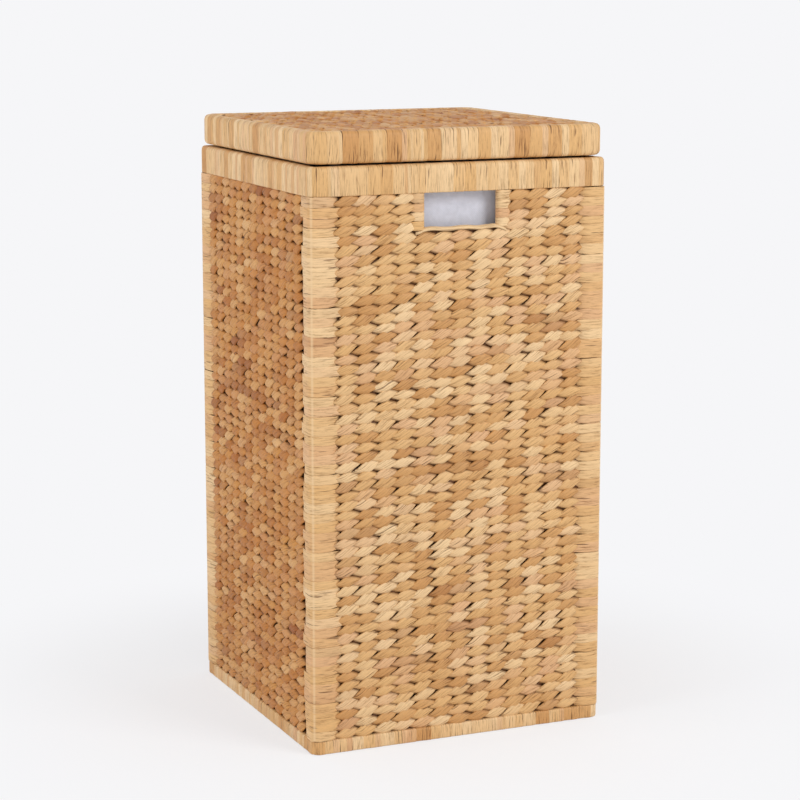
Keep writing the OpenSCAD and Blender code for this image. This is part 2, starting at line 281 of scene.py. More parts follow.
def picked(tree, points, shelf, seed, rotation, scale):
    """Puts one template of a collection, drawn at random, on every point."""
    shapes = node(tree, "GeometryNodeCollectionInfo", {
        "Collection": shelf, "Separate Children": True, "Reset Children": True})
    pick = node(tree, "FunctionNodeRandomValue", {"Min": 0, "Max": 1000, "Seed": seed}, data_type="INT")
    return node(tree, "GeometryNodeInstanceOnPoints", {
        "Points": points, "Instance": shapes, "Pick Instance": True, "Instance Index": pick,
        "Rotation": rotation, "Scale": scale})


def rounded_path(tree, wide, tall, radius, steps):
    """A closed curve round a rectangle with rounded corners."""
    box = node(tree, "GeometryNodeCurvePrimitiveQuadrilateral", {"Width": wide, "Height": tall})
    return node(tree, "GeometryNodeFilletCurve", {"Curve": box, "Count": steps, "Radius": radius},
                mode="POLY")


def twined_tree():
    """Rows of strand twined round stakes: one leaf outside and one inside each stake in each row."""
    tree, given = new_tree("twined_panel", {
        "Outer Leaves": "Collection", "Inner Leaves": "Collection", "Width": "Float", "Height": "Float",
        "Columns": "Int", "Rows": "Int", "Foot": "Float", "Wander": "Float", "Slot Half": "Float",
        "Slot Sill": "Float", "Warmth": "Float", "Seed": "Int", "Spread": "Vector", "Material": "Material"})
    grid = node(tree, "GeometryNodeMeshGrid", {
        "Size X": given["Width"], "Size Y": given["Height"],
        "Vertices X": given["Columns"], "Vertices Y": given["Rows"]})
    place = node(tree, "ShaderNodeSeparateXYZ", {0: node(tree, "GeometryNodeInputPosition")})
    across = place.outputs[0]
    half_height = node(tree, "ShaderNodeMath", {0: given["Height"], 1: 0.5}, operation="MULTIPLY")
    lifted = node(tree, "ShaderNodeMath", {0: place.outputs[1], 1: half_height}, operation="ADD")
    height = node(tree, "ShaderNodeMath", {0: lifted, 1: given["Foot"]}, operation="ADD")
    spot = node(tree, "ShaderNodeCombineXYZ", {0: across, 1: given["Seed"], 2: height})
    waves = node(tree, "ShaderNodeTexNoise", {"Vector": spot, "Scale": 11.0, "Detail": 1.0})
    centred = node(tree, "ShaderNodeMath", {0: waves, 1: 0.5}, operation="SUBTRACT")
    double = node(tree, "ShaderNodeMath", {0: centred, 1: 3.0}, operation="MULTIPLY")
    stray = node(tree, "ShaderNodeMath", {0: double, 1: given["Wander"]}, operation="MULTIPLY")
    row = node(tree, "ShaderNodeMath", {0: height, 1: stray}, operation="ADD")
    flat = node(tree, "ShaderNodeCombineXYZ", {0: across, 1: 0.0, 2: row})
    shake = node(tree, "FunctionNodeRandomValue", {
        "Min": (-1.3 * MM, -0.35 * MM, -0.45 * MM), "Max": (1.3 * MM, 0.1 * MM, 0.45 * MM),
        "Seed": given["Seed"]}, data_type="FLOAT_VECTOR")
    shaken = node(tree, "ShaderNodeVectorMath", {0: flat, 1: shake}, operation="ADD")
    placed = node(tree, "GeometryNodeSetPosition", {"Geometry": grid, "Position": shaken})
    here = node(tree, "ShaderNodeSeparateXYZ", {0: node(tree, "GeometryNodeInputPosition")})
    offside = node(tree, "ShaderNodeMath", {0: here.outputs[0]}, operation="ABSOLUTE")
    near = node(tree, "FunctionNodeCompare", {"A": offside, "B": given["Slot Half"]},
                data_type="FLOAT", operation="LESS_THAN")
    above = node(tree, "FunctionNodeCompare", {"A": here.outputs[2], "B": given["Slot Sill"]},
                 data_type="FLOAT", operation="GREATER_THAN")
    in_slot = node(tree, "FunctionNodeBooleanMath", {0: near, 1: above}, operation="AND")
    kept = node(tree, "GeometryNodeDeleteGeometry",
                {"Geometry": placed, "Selection": in_slot}, domain="POINT")
    joined = node(tree, "GeometryNodeJoinGeometry")
    for number, (label, turn) in enumerate((("Outer Leaves", 0.0), ("Inner Leaves", pi))):
        seed = node(tree, "ShaderNodeMath", {0: given["Seed"], 1: 20.0 * number}, operation="ADD")
        lean = node(tree, "FunctionNodeRandomValue", {
            "Min": (turn - 0.06, -0.13, -0.05), "Max": (turn + 0.06, 0.09, 0.05),
            "Seed": seed}, data_type="FLOAT_VECTOR")
        size = node(tree, "FunctionNodeRandomValue", {
            "Min": (0.95, 0.85, 0.88), "Max": (1.06, 1.0, 1.14), "Seed": seed}, data_type="FLOAT_VECTOR")
        leaf = picked(tree, kept, given[label], seed, lean, size)
        marks = marked(tree, leaf, seed, given["Spread"], given["Warmth"])
        tree.links.new(result(marks), joined.inputs[0])
    return close_tree(tree, joined, given["Material"])


def wrapped_tree():
    """Strips of uneven width wrapped side by side over a band that runs round a rounded square."""
    tree, given = new_tree("wrapped_band", {
        "Strips": "Collection", "Size": "Float", "Corner Radius": "Float", "Thickness": "Float",
        "Count": "Int", "Narrowest": "Float", "Widest": "Float", "Foot": "Float", "Slack": "Float",
        "Slant": "Float", "Seed": "Int", "Spread": "Vector", "Material": "Material"})
    path = rounded_path(tree, given["Size"], given["Size"], given["Corner Radius"], 8)
    around = node(tree, "GeometryNodeCurveLength", {"Curve": path})
    points = node(tree, "GeometryNodePoints", {"Count": given["Count"]})
    chance = node(tree, "FunctionNodeRandomValue", {"Min": 0.0, "Max": 1.0, "Seed": given["Seed"]},
                  data_type="FLOAT")
    skewed = node(tree, "ShaderNodeMath", {0: chance, 1: 1.7}, operation="POWER")
    width = node(tree, "ShaderNodeMapRange", {
        "Value": skewed, "To Min": given["Narrowest"], "To Max": given["Widest"]})
    so_far = node(tree, "GeometryNodeAccumulateField", {0: width}, data_type="FLOAT")
    fit = node(tree, "ShaderNodeMath", {0: around, 1: result(so_far, "Total")}, operation="DIVIDE")
    middle = node(tree, "ShaderNodeMath", {0: width, 1: 0.5, 2: result(so_far, "Trailing")},
                  operation="MULTIPLY_ADD")
    along = node(tree, "ShaderNodeMath", {0: middle, 1: fit}, operation="MULTIPLY")
    drawn_width = node(tree, "ShaderNodeMath", {0: width, 1: fit, 2: STRIP_OVERLAP},
                       operation="MULTIPLY_ADD")
    sink = node(tree, "FunctionNodeRandomValue", {"Min": 0.0, "Max": given["Slack"], "Seed": given["Seed"]},
                data_type="FLOAT")
    spot = node(tree, "ShaderNodeCombineXYZ", {0: along, 1: sink, 2: given["Foot"]})
    spots = node(tree, "GeometryNodeSetPosition", {"Geometry": points, "Position": spot})
    wide = node(tree, "GeometryNodeStoreNamedAttribute",
                {"Geometry": spots, "Name": "strip_width", "Value": drawn_width},
                data_type="FLOAT", domain="POINT")
    lean_back = node(tree, "ShaderNodeMath", {0: given["Slant"], 1: -1.0}, operation="MULTIPLY")
    lean = node(tree, "FunctionNodeRandomValue", {
        "Min": lean_back, "Max": given["Slant"], "Seed": given["Seed"]}, data_type="FLOAT")
    turn = node(tree, "ShaderNodeCombineXYZ", {0: 0.0, 1: lean, 2: 0.0})
    stored = node(tree, "GeometryNodeInputNamedAttribute", {"Name": "strip_width"}, data_type="FLOAT")
    size = node(tree, "ShaderNodeCombineXYZ", {0: stored, 1: 1.0, 2: 1.0})
    strip = picked(tree, wide, given["Strips"], given["Seed"], turn, size)
    real = node(tree, "GeometryNodeRealizeInstances", {
        "Geometry": marked(tree, strip, given["Seed"], given["Spread"])})
    straight = node(tree, "ShaderNodeSeparateXYZ", {0: node(tree, "GeometryNodeInputPosition")})
    round_once = node(tree, "ShaderNodeMath", {0: straight.outputs[0], 1: around},
                      operation="FLOORED_MODULO")
    on_path = node(tree, "GeometryNodeSampleCurve", {"Curves": path, "Length": round_once},
                   mode="LENGTH", data_type="FLOAT")
    outward = node(tree, "ShaderNodeVectorMath", {0: result(on_path, "Tangent"), 1: (0.0, 0.0, 1.0)},
                   operation="CROSS_PRODUCT")
    level = node(tree, "ShaderNodeVectorMath", {0: outward}, operation="NORMALIZE")
    corner_gap = node(tree, "ShaderNodeVectorMath", {0: result(on_path, "Position")}, operation="ABSOLUTE")
    sides = node(tree, "ShaderNodeSeparateXYZ", {0: corner_gap})
    lesser = node(tree, "ShaderNodeMath", {0: sides.outputs[0], 1: sides.outputs[1]}, operation="MINIMUM")
    half = node(tree, "ShaderNodeMath", {0: given["Size"], 1: 0.5}, operation="MULTIPLY")
    to_corner = node(tree, "ShaderNodeMath", {0: half, 1: lesser}, operation="SUBTRACT")
    room = node(tree, "ShaderNodeMath", {0: to_corner, 1: given["Corner Radius"]}, operation="MAXIMUM")
    mitre = node(tree, "ShaderNodeMath", {0: room, 1: 0.6 * MM}, operation="SUBTRACT")
    share = node(tree, "ShaderNodeMath", {0: mitre, 1: given["Thickness"]}, operation="DIVIDE")
    capped = node(tree, "ShaderNodeMath", {0: share, 1: 1.0}, operation="MINIMUM")
    inward = node(tree, "ShaderNodeMath", {0: straight.outputs[1], 1: capped}, operation="MULTIPLY")
    back = node(tree, "ShaderNodeMath", {0: inward, 1: -1.0}, operation="MULTIPLY")
    push = node(tree, "ShaderNodeVectorMath", {0: level, "Scale": back}, operation="SCALE")
    rise = node(tree, "ShaderNodeCombineXYZ", {0: 0.0, 1: 0.0, 2: straight.outputs[2]})
    foot = node(tree, "ShaderNodeVectorMath", {0: result(on_path, "Position"), 1: push}, operation="ADD")
    final = node(tree, "ShaderNodeVectorMath", {0: foot, 1: rise}, operation="ADD")
    bent = node(tree, "GeometryNodeSetPosition", {"Geometry": real, "Position": final})
    return close_tree(tree, bent, given["Material"])


def stacked_tree():
    """Like strands stacked one above the other."""
    tree, given = new_tree("stacked_strands", {
        "Strands": "Collection", "Count": "Int", "Start": "Vector", "Pitch": "Float", "Shake": "Float",
        "Turn": "Float", "Seed": "Int", "Spread": "Vector", "Material": "Material"})
    step = node(tree, "ShaderNodeCombineXYZ", {0: 0.0, 1: 0.0, 2: given["Pitch"]})
    line = node(tree, "GeometryNodeMeshLine", {
        "Count": given["Count"], "Start Location": given["Start"], "Offset": step}, mode="OFFSET")
    low = node(tree, "ShaderNodeMath", {0: given["Shake"], 1: -1.0}, operation="MULTIPLY")
    drift = node(tree, "FunctionNodeRandomValue", {
        "Min": low, "Max": given["Shake"], "Seed": given["Seed"]}, data_type="FLOAT")
    offset = node(tree, "ShaderNodeCombineXYZ", {0: 0.0, 1: 0.0, 2: drift})
    moved = node(tree, "GeometryNodeSetPosition", {"Geometry": line, "Offset": offset})
    turn = node(tree, "ShaderNodeCombineXYZ", {0: 0.0, 1: 0.0, 2: given["Turn"]})
    tall = node(tree, "FunctionNodeRandomValue", {"Min": 0.92, "Max": 1.16, "Seed": given["Seed"]},
                data_type="FLOAT")
    size = node(tree, "ShaderNodeCombineXYZ", {0: 1.0, 1: 1.0, 2: tall})
    strand = picked(tree, moved, given["Strands"], given["Seed"], turn, size)
    return close_tree(tree, marked(tree, strand, given["Seed"], given["Spread"]), given["Material"])


def loop_tree():
    """Turns of round strand side by side round two rods."""
    tree, given = new_tree("bound_loop", {
        "Turns": "Int", "Pitch": "Float", "Rod Distance": "Float", "Path Radius": "Float",
        "Strand Radius": "Float", "Start": "Vector", "Seed": "Int", "Spread": "Vector",
        "Material": "Material"})
    across = node(tree, "ShaderNodeMath", {0: given["Path Radius"], 1: 2.0}, operation="MULTIPLY")
    tall = node(tree, "ShaderNodeMath", {0: across, 1: given["Rod Distance"]}, operation="ADD")
    inner = node(tree, "ShaderNodeMath", {0: given["Path Radius"], 1: 0.999}, operation="MULTIPLY")
    path = rounded_path(tree, across, tall, inner, 8)
    strand = node(tree, "GeometryNodeCurvePrimitiveCircle", {
        "Resolution": 8, "Radius": given["Strand Radius"]}, mode="RADIUS")
    ring = node(tree, "GeometryNodeCurveToMesh", {"Curve": path, "Profile Curve": strand})
    step = node(tree, "ShaderNodeCombineXYZ", {0: given["Pitch"], 1: 0.0, 2: 0.0})
    line = node(tree, "GeometryNodeMeshLine", {
        "Count": given["Turns"], "Start Location": given["Start"], "Offset": step}, mode="OFFSET")
    turns = node(tree, "GeometryNodeInstanceOnPoints", {
        "Points": line, "Instance": ring, "Rotation": (radians(90), 0.0, radians(90))})
    return close_tree(tree, marked(tree, turns, given["Seed"], given["Spread"]), given["Material"])


def stitch_tree():
    """Stitches at a steady pitch along a rounded square."""
    tree, given = new_tree("stitch_row", {
        "Size": "Float", "Corner Radius": "Float", "Height": "Float", "Pitch": "Float",
        "Stitch": "Collection", "Material": "Material"})
    path = rounded_path(tree, given["Size"], given["Size"], given["Corner Radius"], 4)
    points = node(tree, "GeometryNodeCurveToPoints", {"Curve": path, "Length": given["Pitch"]},
                  mode="LENGTH")
    lift = node(tree, "ShaderNodeCombineXYZ", {0: 0.0, 1: 0.0, 2: given["Height"]})
    raised = node(tree, "GeometryNodeSetPosition", {"Geometry": points, "Offset": lift})
    stitch = node(tree, "GeometryNodeCollectionInfo", {
        "Collection": given["Stitch"], "Separate Children": True, "Reset Children": True})
    turn = node(tree, "FunctionNodeAlignRotationToVector", {"Vector": result(points, "Tangent")}, axis="X")
    sewn = node(tree, "GeometryNodeInstanceOnPoints", {
        "Points": raised, "Instance": stitch, "Rotation": turn})
    return close_tree(tree, sewn, given["Material"])


def grown(name, tree, given, place=None):
    """Runs a geometry tree once and gives its result as a plain mesh object."""
    host = in_scene(name + "_host", bpy.data.meshes.new(name + "_host"))
    modifier = host.modifiers.new("tree", "NODES")
    modifier.node_group = tree
    for item in tree.interface.items_tree:
        if item.in_out == "INPUT":
            modifier[item.identifier] = given[item.name]
    host.update_tag()
    bpy.context.view_layer.update()
    evaluated = host.evaluated_get(bpy.context.evaluated_depsgraph_get())
    mesh = bpy.data.meshes.new_from_object(evaluated)
    bpy.data.objects.remove(host)
    if not mesh.polygons:
        raise RuntimeError(f"{name}: the tree made no faces")
    if place is not None:
        mesh.transform(place)
    if signed_volume(mesh) < 0:
        mesh.flip_normals()
    return in_scene(name, mesh)


# ---------------------------------------------------------------------------
# Meshes
# ---------------------------------------------------------------------------

def signed_volume(mesh):
    shell = bmesh.new()
    shell.from_mesh(mesh)
    volume = shell.calc_volume(signed=True)
    shell.free()
    return volume


def swept(name, rings, closed_ends=True):
    """A closed strand through rings of (point, u, v, sunk), u and v in millimetres along and across it."""
    count = len(rings[0])
    points = [corner[0] for ring in rings for corner in ring]
    faces = []
    for i in range(len(rings) - 1):
        for j in range(count):
            k = (j + 1) % count
            faces.append((i * count + j, i * count + k, (i + 1) * count + k, (i + 1) * count + j))
    if closed_ends:
        faces.append(tuple(reversed(range(count))))
        faces.append(tuple(range((len(rings) - 1) * count, len(rings) * count)))
    mesh = bpy.data.meshes.new(name)
    mesh.from_pydata(points, [], faces)
    if signed_volume(mesh) < 0:
        mesh.flip_normals()
    marks = [corner[1:] for ring in rings for corner in ring]
    fibre = mesh.uv_layers.new(name="fibre")
    for loop in mesh.loops:
        fibre.data[loop.index].uv = marks[loop.vertex_index][:2]
    sunk = mesh.attributes.new("sunk", "FLOAT", "POINT")
    sunk.data.foreach_set("value", [m[2] for m in marks])
    mesh.polygons.foreach_set("use_smooth", [True] * len(mesh.polygons))
    return mesh


def in_scene(name, data):
    """A new object with this data, in the scene."""
    made = bpy.data.objects.new(name, data)
    bpy.context.scene.collection.objects.link(made)
    return made


def template_set(name, meshes):
    """A collection of template objects, kept out of the scene."""
    shelf = bpy.data.collections.new(name)
    for number, mesh in enumerate(meshes):
        shelf.objects.link(bpy.data.objects.new(f"{name}_{number:02d}", mesh))
    return shelf


def clear_templates(*shelves):
    for shelf in shelves:
        for item in list(shelf.objects):
            bpy.data.objects.remove(item)
        bpy.data.collections.remove(shelf)


def leaf_mesh(name, dice, sizes, rings, sides):
    """One turn of twisted strand over a stake. X runs along the row, -Y is outward, Z is up."""
    long, wide = sizes.leaf_length, sizes.leaf_width * dice.uniform(0.94, 1.06)
    thick = sizes.leaf_thickness * dice.uniform(0.85, 1.1)
    crest = sizes.twist + thick / 2
    skew = dice.uniform(-0.2, 0.14)
    bend = dice.uniform(-0.5, 0.5) * MM
    made = []
    for i in range(rings):
        t = -1 + 2 * i / (rings - 1)
        turn = pi * t * long / 2 / sizes.stake_pitch
        fill = max(1 - abs(t - skew * (1 - t * t)) ** 1.55, 0) ** 0.85
        half_wide = wide / 2 * (0.1 + 0.94 * fill) * dice.uniform(0.93, 1.06)
        half_thick = thick / 2 * (0.28 + 0.72 * fill)
        lean = turn * 0.42
        ring = []
        for j in range(sides):
            a = tau * (j + 0.5) / sides
            p = half_wide * cos(a)
            q = half_thick * (abs(sin(a)) ** 0.6) * (1 if sin(a) > 0 else -1)
            q += dice.uniform(-0.22, 0.22) * MM * fill
            up = p * cos(lean) + q * sin(lean)
            out = q * cos(lean) - p * sin(lean)
            x = t * long / 2 - up * 0.22
            z = sizes.twist * 1.3 * sin(turn * 0.8) + up + bend * (1 - t * t)
            y = sizes.twist * (1 - 1.45 * abs(t) ** 2.2) + out
            # painted shade: the deeper a point lies below the leaf's crest, the more the material darkens
            # it as painted shade in the gaps between leaves
            sunk = min(max((crest - y) / (crest * 1.05), 0), 1)
            ring.append(((x, -y, z), x / MM, p / MM, sunk))
        made.append(ring)
    return swept(name, made)


STRAP_SECTION = (  # across the strand from -1 to 1, and into it from 0 to 1
    (-1, 0.2), (-0.85, 0.03), (-0.3, 0), (0.3, 0), (0.85, 0.03), (1, 0.2), (0.8, 1), (-0.8, 1))


def flat_strand(name, path, half_height, thickness, dive, dice, ends, crest=None):
    """A flat strand, its width upright, along a level path of (x, y, outward x, outward y, distance)."""
    total = path[-1][4]
    made = []
    edge = [dice.uniform(-0.3, 0.3) * MM for _ in path]
    for i, (x, y, nx, ny, s) in enumerate(path):
        to_end = min(s, total - s)
        fade = min(to_end / ends, 1)
        high = half_height * (0.87 + 0.13 * fade ** 0.6)
        drop = dive * (1 - fade) ** 1.4
        ring = []
        for across, depth in STRAP_SECTION:
            inward = depth * thickness + drop
            point = (x - nx * inward, y - ny * inward, across * high + edge[i])
            # painted shade: a strand's edges and back are marked sunk, and its ends more so where they dive
            # under the leaves, so the material darkens them as painted shade
            border = 0.7 if abs(across) == 1 or depth == 1 else 0.0
            sunk = min(1, border + 0.7 * (1 - fade) ** 2)
            # painted highlight: the station at the corner's crest is marked -1, which the material paints
            # pale as a highlight line down the corner
            if i == crest and border == 0:
                sunk = -1
            ring.append((point, s / MM, across * high / MM, sunk))
        made.append(ring)
    return swept(name, made)


def corner_strand(name, dice, sizes):
    """A strand that comes along -X's side, turns round the corner at 0, 0 and goes along the front."""
    reach = [sizes.leg + dice.uniform(-5, 4.5) * MM for _ in range(2)]
    r = sizes.corner_radius
    spots = []
    for k in (1, 0.88, 0.76, 0.62, 0.4):
        spots.append((0, r + (reach[0] - r) * k, -1, 0))
    steps = 6
    for k in range(steps + 1):
        a = radians(90) * k / steps
        spots.append((r - r * cos(a), r - r * sin(a), -cos(a), -sin(a)))
    for k in (0.4, 0.62, 0.76, 0.88, 1):
        spots.append((r + (reach[1] - r) * k, 0, 0, -1))
    path = measured(spots)
    # The crest station, the middle of the arc, carries the painted highlight line.
    return flat_strand(name, path, 5.4 * MM, sizes.thickness, 5.4 * MM, dice, 15 * MM, crest=8)


def measured(spots):
    """Adds to each spot how far along the path it is."""
    path, s = [], 0.0
    for i, spot in enumerate(spots):
        if i:
            s += hypot(spot[0] - spots[i - 1][0], spot[1] - spots[i - 1][1])
        path.append((*spot, s))
    return path


def slot_turn(name, dice):
    """A strand that turns round the upright edge of a hand slot. The edge is at X 0, the wall at +X."""
    r = WALL_T / 2 - 0.2 * MM
    reach = 17 * MM + dice.uniform(-1.5, 1.5) * MM
    spots = [(r + (reach - r) * k, -r, 0, -1) for k in (1, 0.8, 0.55, 0.25)]
    steps = 8
    for k in range(steps + 1):
        a = radians(180) * k / steps
        spots.append((r - r * sin(a), -r * cos(a), -sin(a), -cos(a)))
    spots += [(r + (reach - r) * k, r, 0, 1) for k in (0.25, 0.55, 0.8, 1)]
    return flat_strand(name, measured(spots), 4.5 * MM, 2 * MM, 3.6 * MM, dice, 7 * MM)


def rounded_section(thick, tall, top_r, foot_r, inset):
    """The outline of a band, as points of depth and height with the distance round it."""
    centres = ((foot_r, foot_r, foot_r, 180), (top_r, tall - top_r, top_r, 90),
               (thick - top_r, tall - top_r, top_r, 0), (thick - foot_r, foot_r, foot_r, -90))
    outline = []
    for cx, cz, r, first in centres:
        for k in range(4):
            a = radians(first + 90 - 30 * k)
            outline.append((cx + (r - inset) * cos(a), cz + (r - inset) * sin(a)))
    return measured(outline)


def band_strip(name, dice, thick, tall, top_r, foot_r, groove):
    """A strip wrapped once round a band, one metre wide before it is scaled. Y is depth, Z is height."""
    stations = ((-0.5, 1), (-0.46, 0.35), (-0.36, 0), (-0.18, 0), (0, 0), (0.18, 0), (0.36, 0),
                (0.46, 0.35), (0.5, 1))
    wave = [dice.uniform(0, 0.16) * MM for _ in stations]
    # painted shade: how dark each end of a strip is painted, as shade in the groove between two strips
    groove_shade = (dice.choice((0.1, 0.45, 0.6, 1.0)), dice.choice((0.1, 0.3, 0.45, 0.9)))
    made = []
    for (x, sunk), rise in zip(stations, wave):
        inset = groove * sunk + rise
        ring = []
        for depth, height, s in rounded_section(thick, tall, top_r, foot_r, inset):
            ring.append(((x, depth, height), s / MM, x * 14, sunk * groove_shade[x > 0]))
        made.append(ring)
    return swept(name, made)


def islands(mesh):
    """The vertex sets of a mesh's separate shells."""
    owner = list(range(len(mesh.vertices)))

    def root(i):
        while owner[i] != i:
            owner[i] = owner[owner[i]]
            i = owner[i]
        return i

    for edge in mesh.edges:
        a, b = root(edge.vertices[0]), root(edge.vertices[1])
        owner[a] = b
    shells = {}
    for i in range(len(owner)):
        shells.setdefault(root(i), []).append(i)
    return list(shells.values())


def box_mesh(name, low, high):
    shell = bmesh.new()
    bmesh.ops.create_cube(shell, size=1)
    for vertex in shell.verts:
        vertex.co = [low[k] + (vertex.co[k] + 0.5) * (high[k] - low[k]) for k in range(3)]
    mesh = bpy.data.meshes.new(name)
    shell.to_mesh(mesh)
    shell.free()
    return mesh


def notched(piece, cutters):
    """Cuts the cutters' shapes out of the shells of a piece that they touch."""
    mesh = piece.data
    touched = [set(shell) for shell in islands(mesh) if any(meets(mesh, shell, c) for c in cutters)]
    parts = [part_of(mesh, wanted, piece.name) for wanted in touched]
    rest = part_of(mesh, set(range(len(mesh.vertices))).difference(*touched), piece.name)
    tools = [in_scene("cutter", cutter) for cutter in cutters]
    pieces = [in_scene("cut", part) for part in parts]
    for item in pieces:
        for tool in tools:
            cut = item.modifiers.new("notch", "BOOLEAN")
            cut.operation = "DIFFERENCE"
            cut.solver = "EXACT"
            cut.object = tool
    bpy.context.view_layer.update()
    graph = bpy.context.evaluated_depsgraph_get()
    done = [bpy.data.meshes.new_from_object(item.evaluated_get(graph)) for item in pieces]
    for item in tools + pieces:
        bpy.data.objects.remove(item)
    piece.data = joined_mesh(piece.name, [rest] + done)


def meets(mesh, shell, cutter):
    """Whether the box of a shell and the box of a cutter overlap."""
    for k in range(3):
        spots = [mesh.vertices[i].co[k] for i in shell]
        tool = [v.co[k] for v in cutter.vertices]
        if min(spots) >= max(tool) or max(spots) <= min(tool):
            return False
    return True


def part_of(mesh, wanted, name):
    """A copy of a mesh with only the wanted vertices."""
    shell = bmesh.new()
    shell.from_mesh(mesh)
    shell.verts.ensure_lookup_table()
    bmesh.ops.delete(shell, geom=[v for v in shell.verts if v.index not in wanted], context="VERTS")
    part = mesh.copy()
    part.name = name
    shell.to_mesh(part)
    shell.free()
    return part


def joined_mesh(name, meshes):
    """Several meshes of one material as one."""
    items = [in_scene(name, mesh) for mesh in meshes if mesh.polygons]
    with bpy.context.temp_override(active_object=items[0], selected_editable_objects=items):
        bpy.ops.object.join()
    mesh = items[0].data
    bpy.data.objects.remove(items[0])
    return mesh


# ---------------------------------------------------------------------------
# Materials
# ---------------------------------------------------------------------------

def new_material(name):
    material = bpy.data.materials.new(name)
    material.use_nodes = True
    material.node_tree.nodes.clear()
    return material, material.node_tree


def finish_material(tree, shader):
    node(tree, "ShaderNodeOutputMaterial", {"Surface": shader})


def fibre_noise(tree, along, apart, per_mm_along, per_mm_across, detail, rough):
    """Noise drawn out along a strand's fibres, with its own place in the noise for every strand."""
    u = node(tree, "ShaderNodeMath", {0: along.outputs[0], 1: per_mm_along}, operation="MULTIPLY")
    v = node(tree, "ShaderNodeMath", {0: along.outputs[1], 1: per_mm_across}, operation="MULTIPLY")
    spot = node(tree, "ShaderNodeCombineXYZ", {0: u, 1: v, 2: apart})
    return node(tree, "ShaderNodeTexNoise", {
        "Vector": spot, "Scale": 1.0, "Detail": detail, "Roughness": rough})


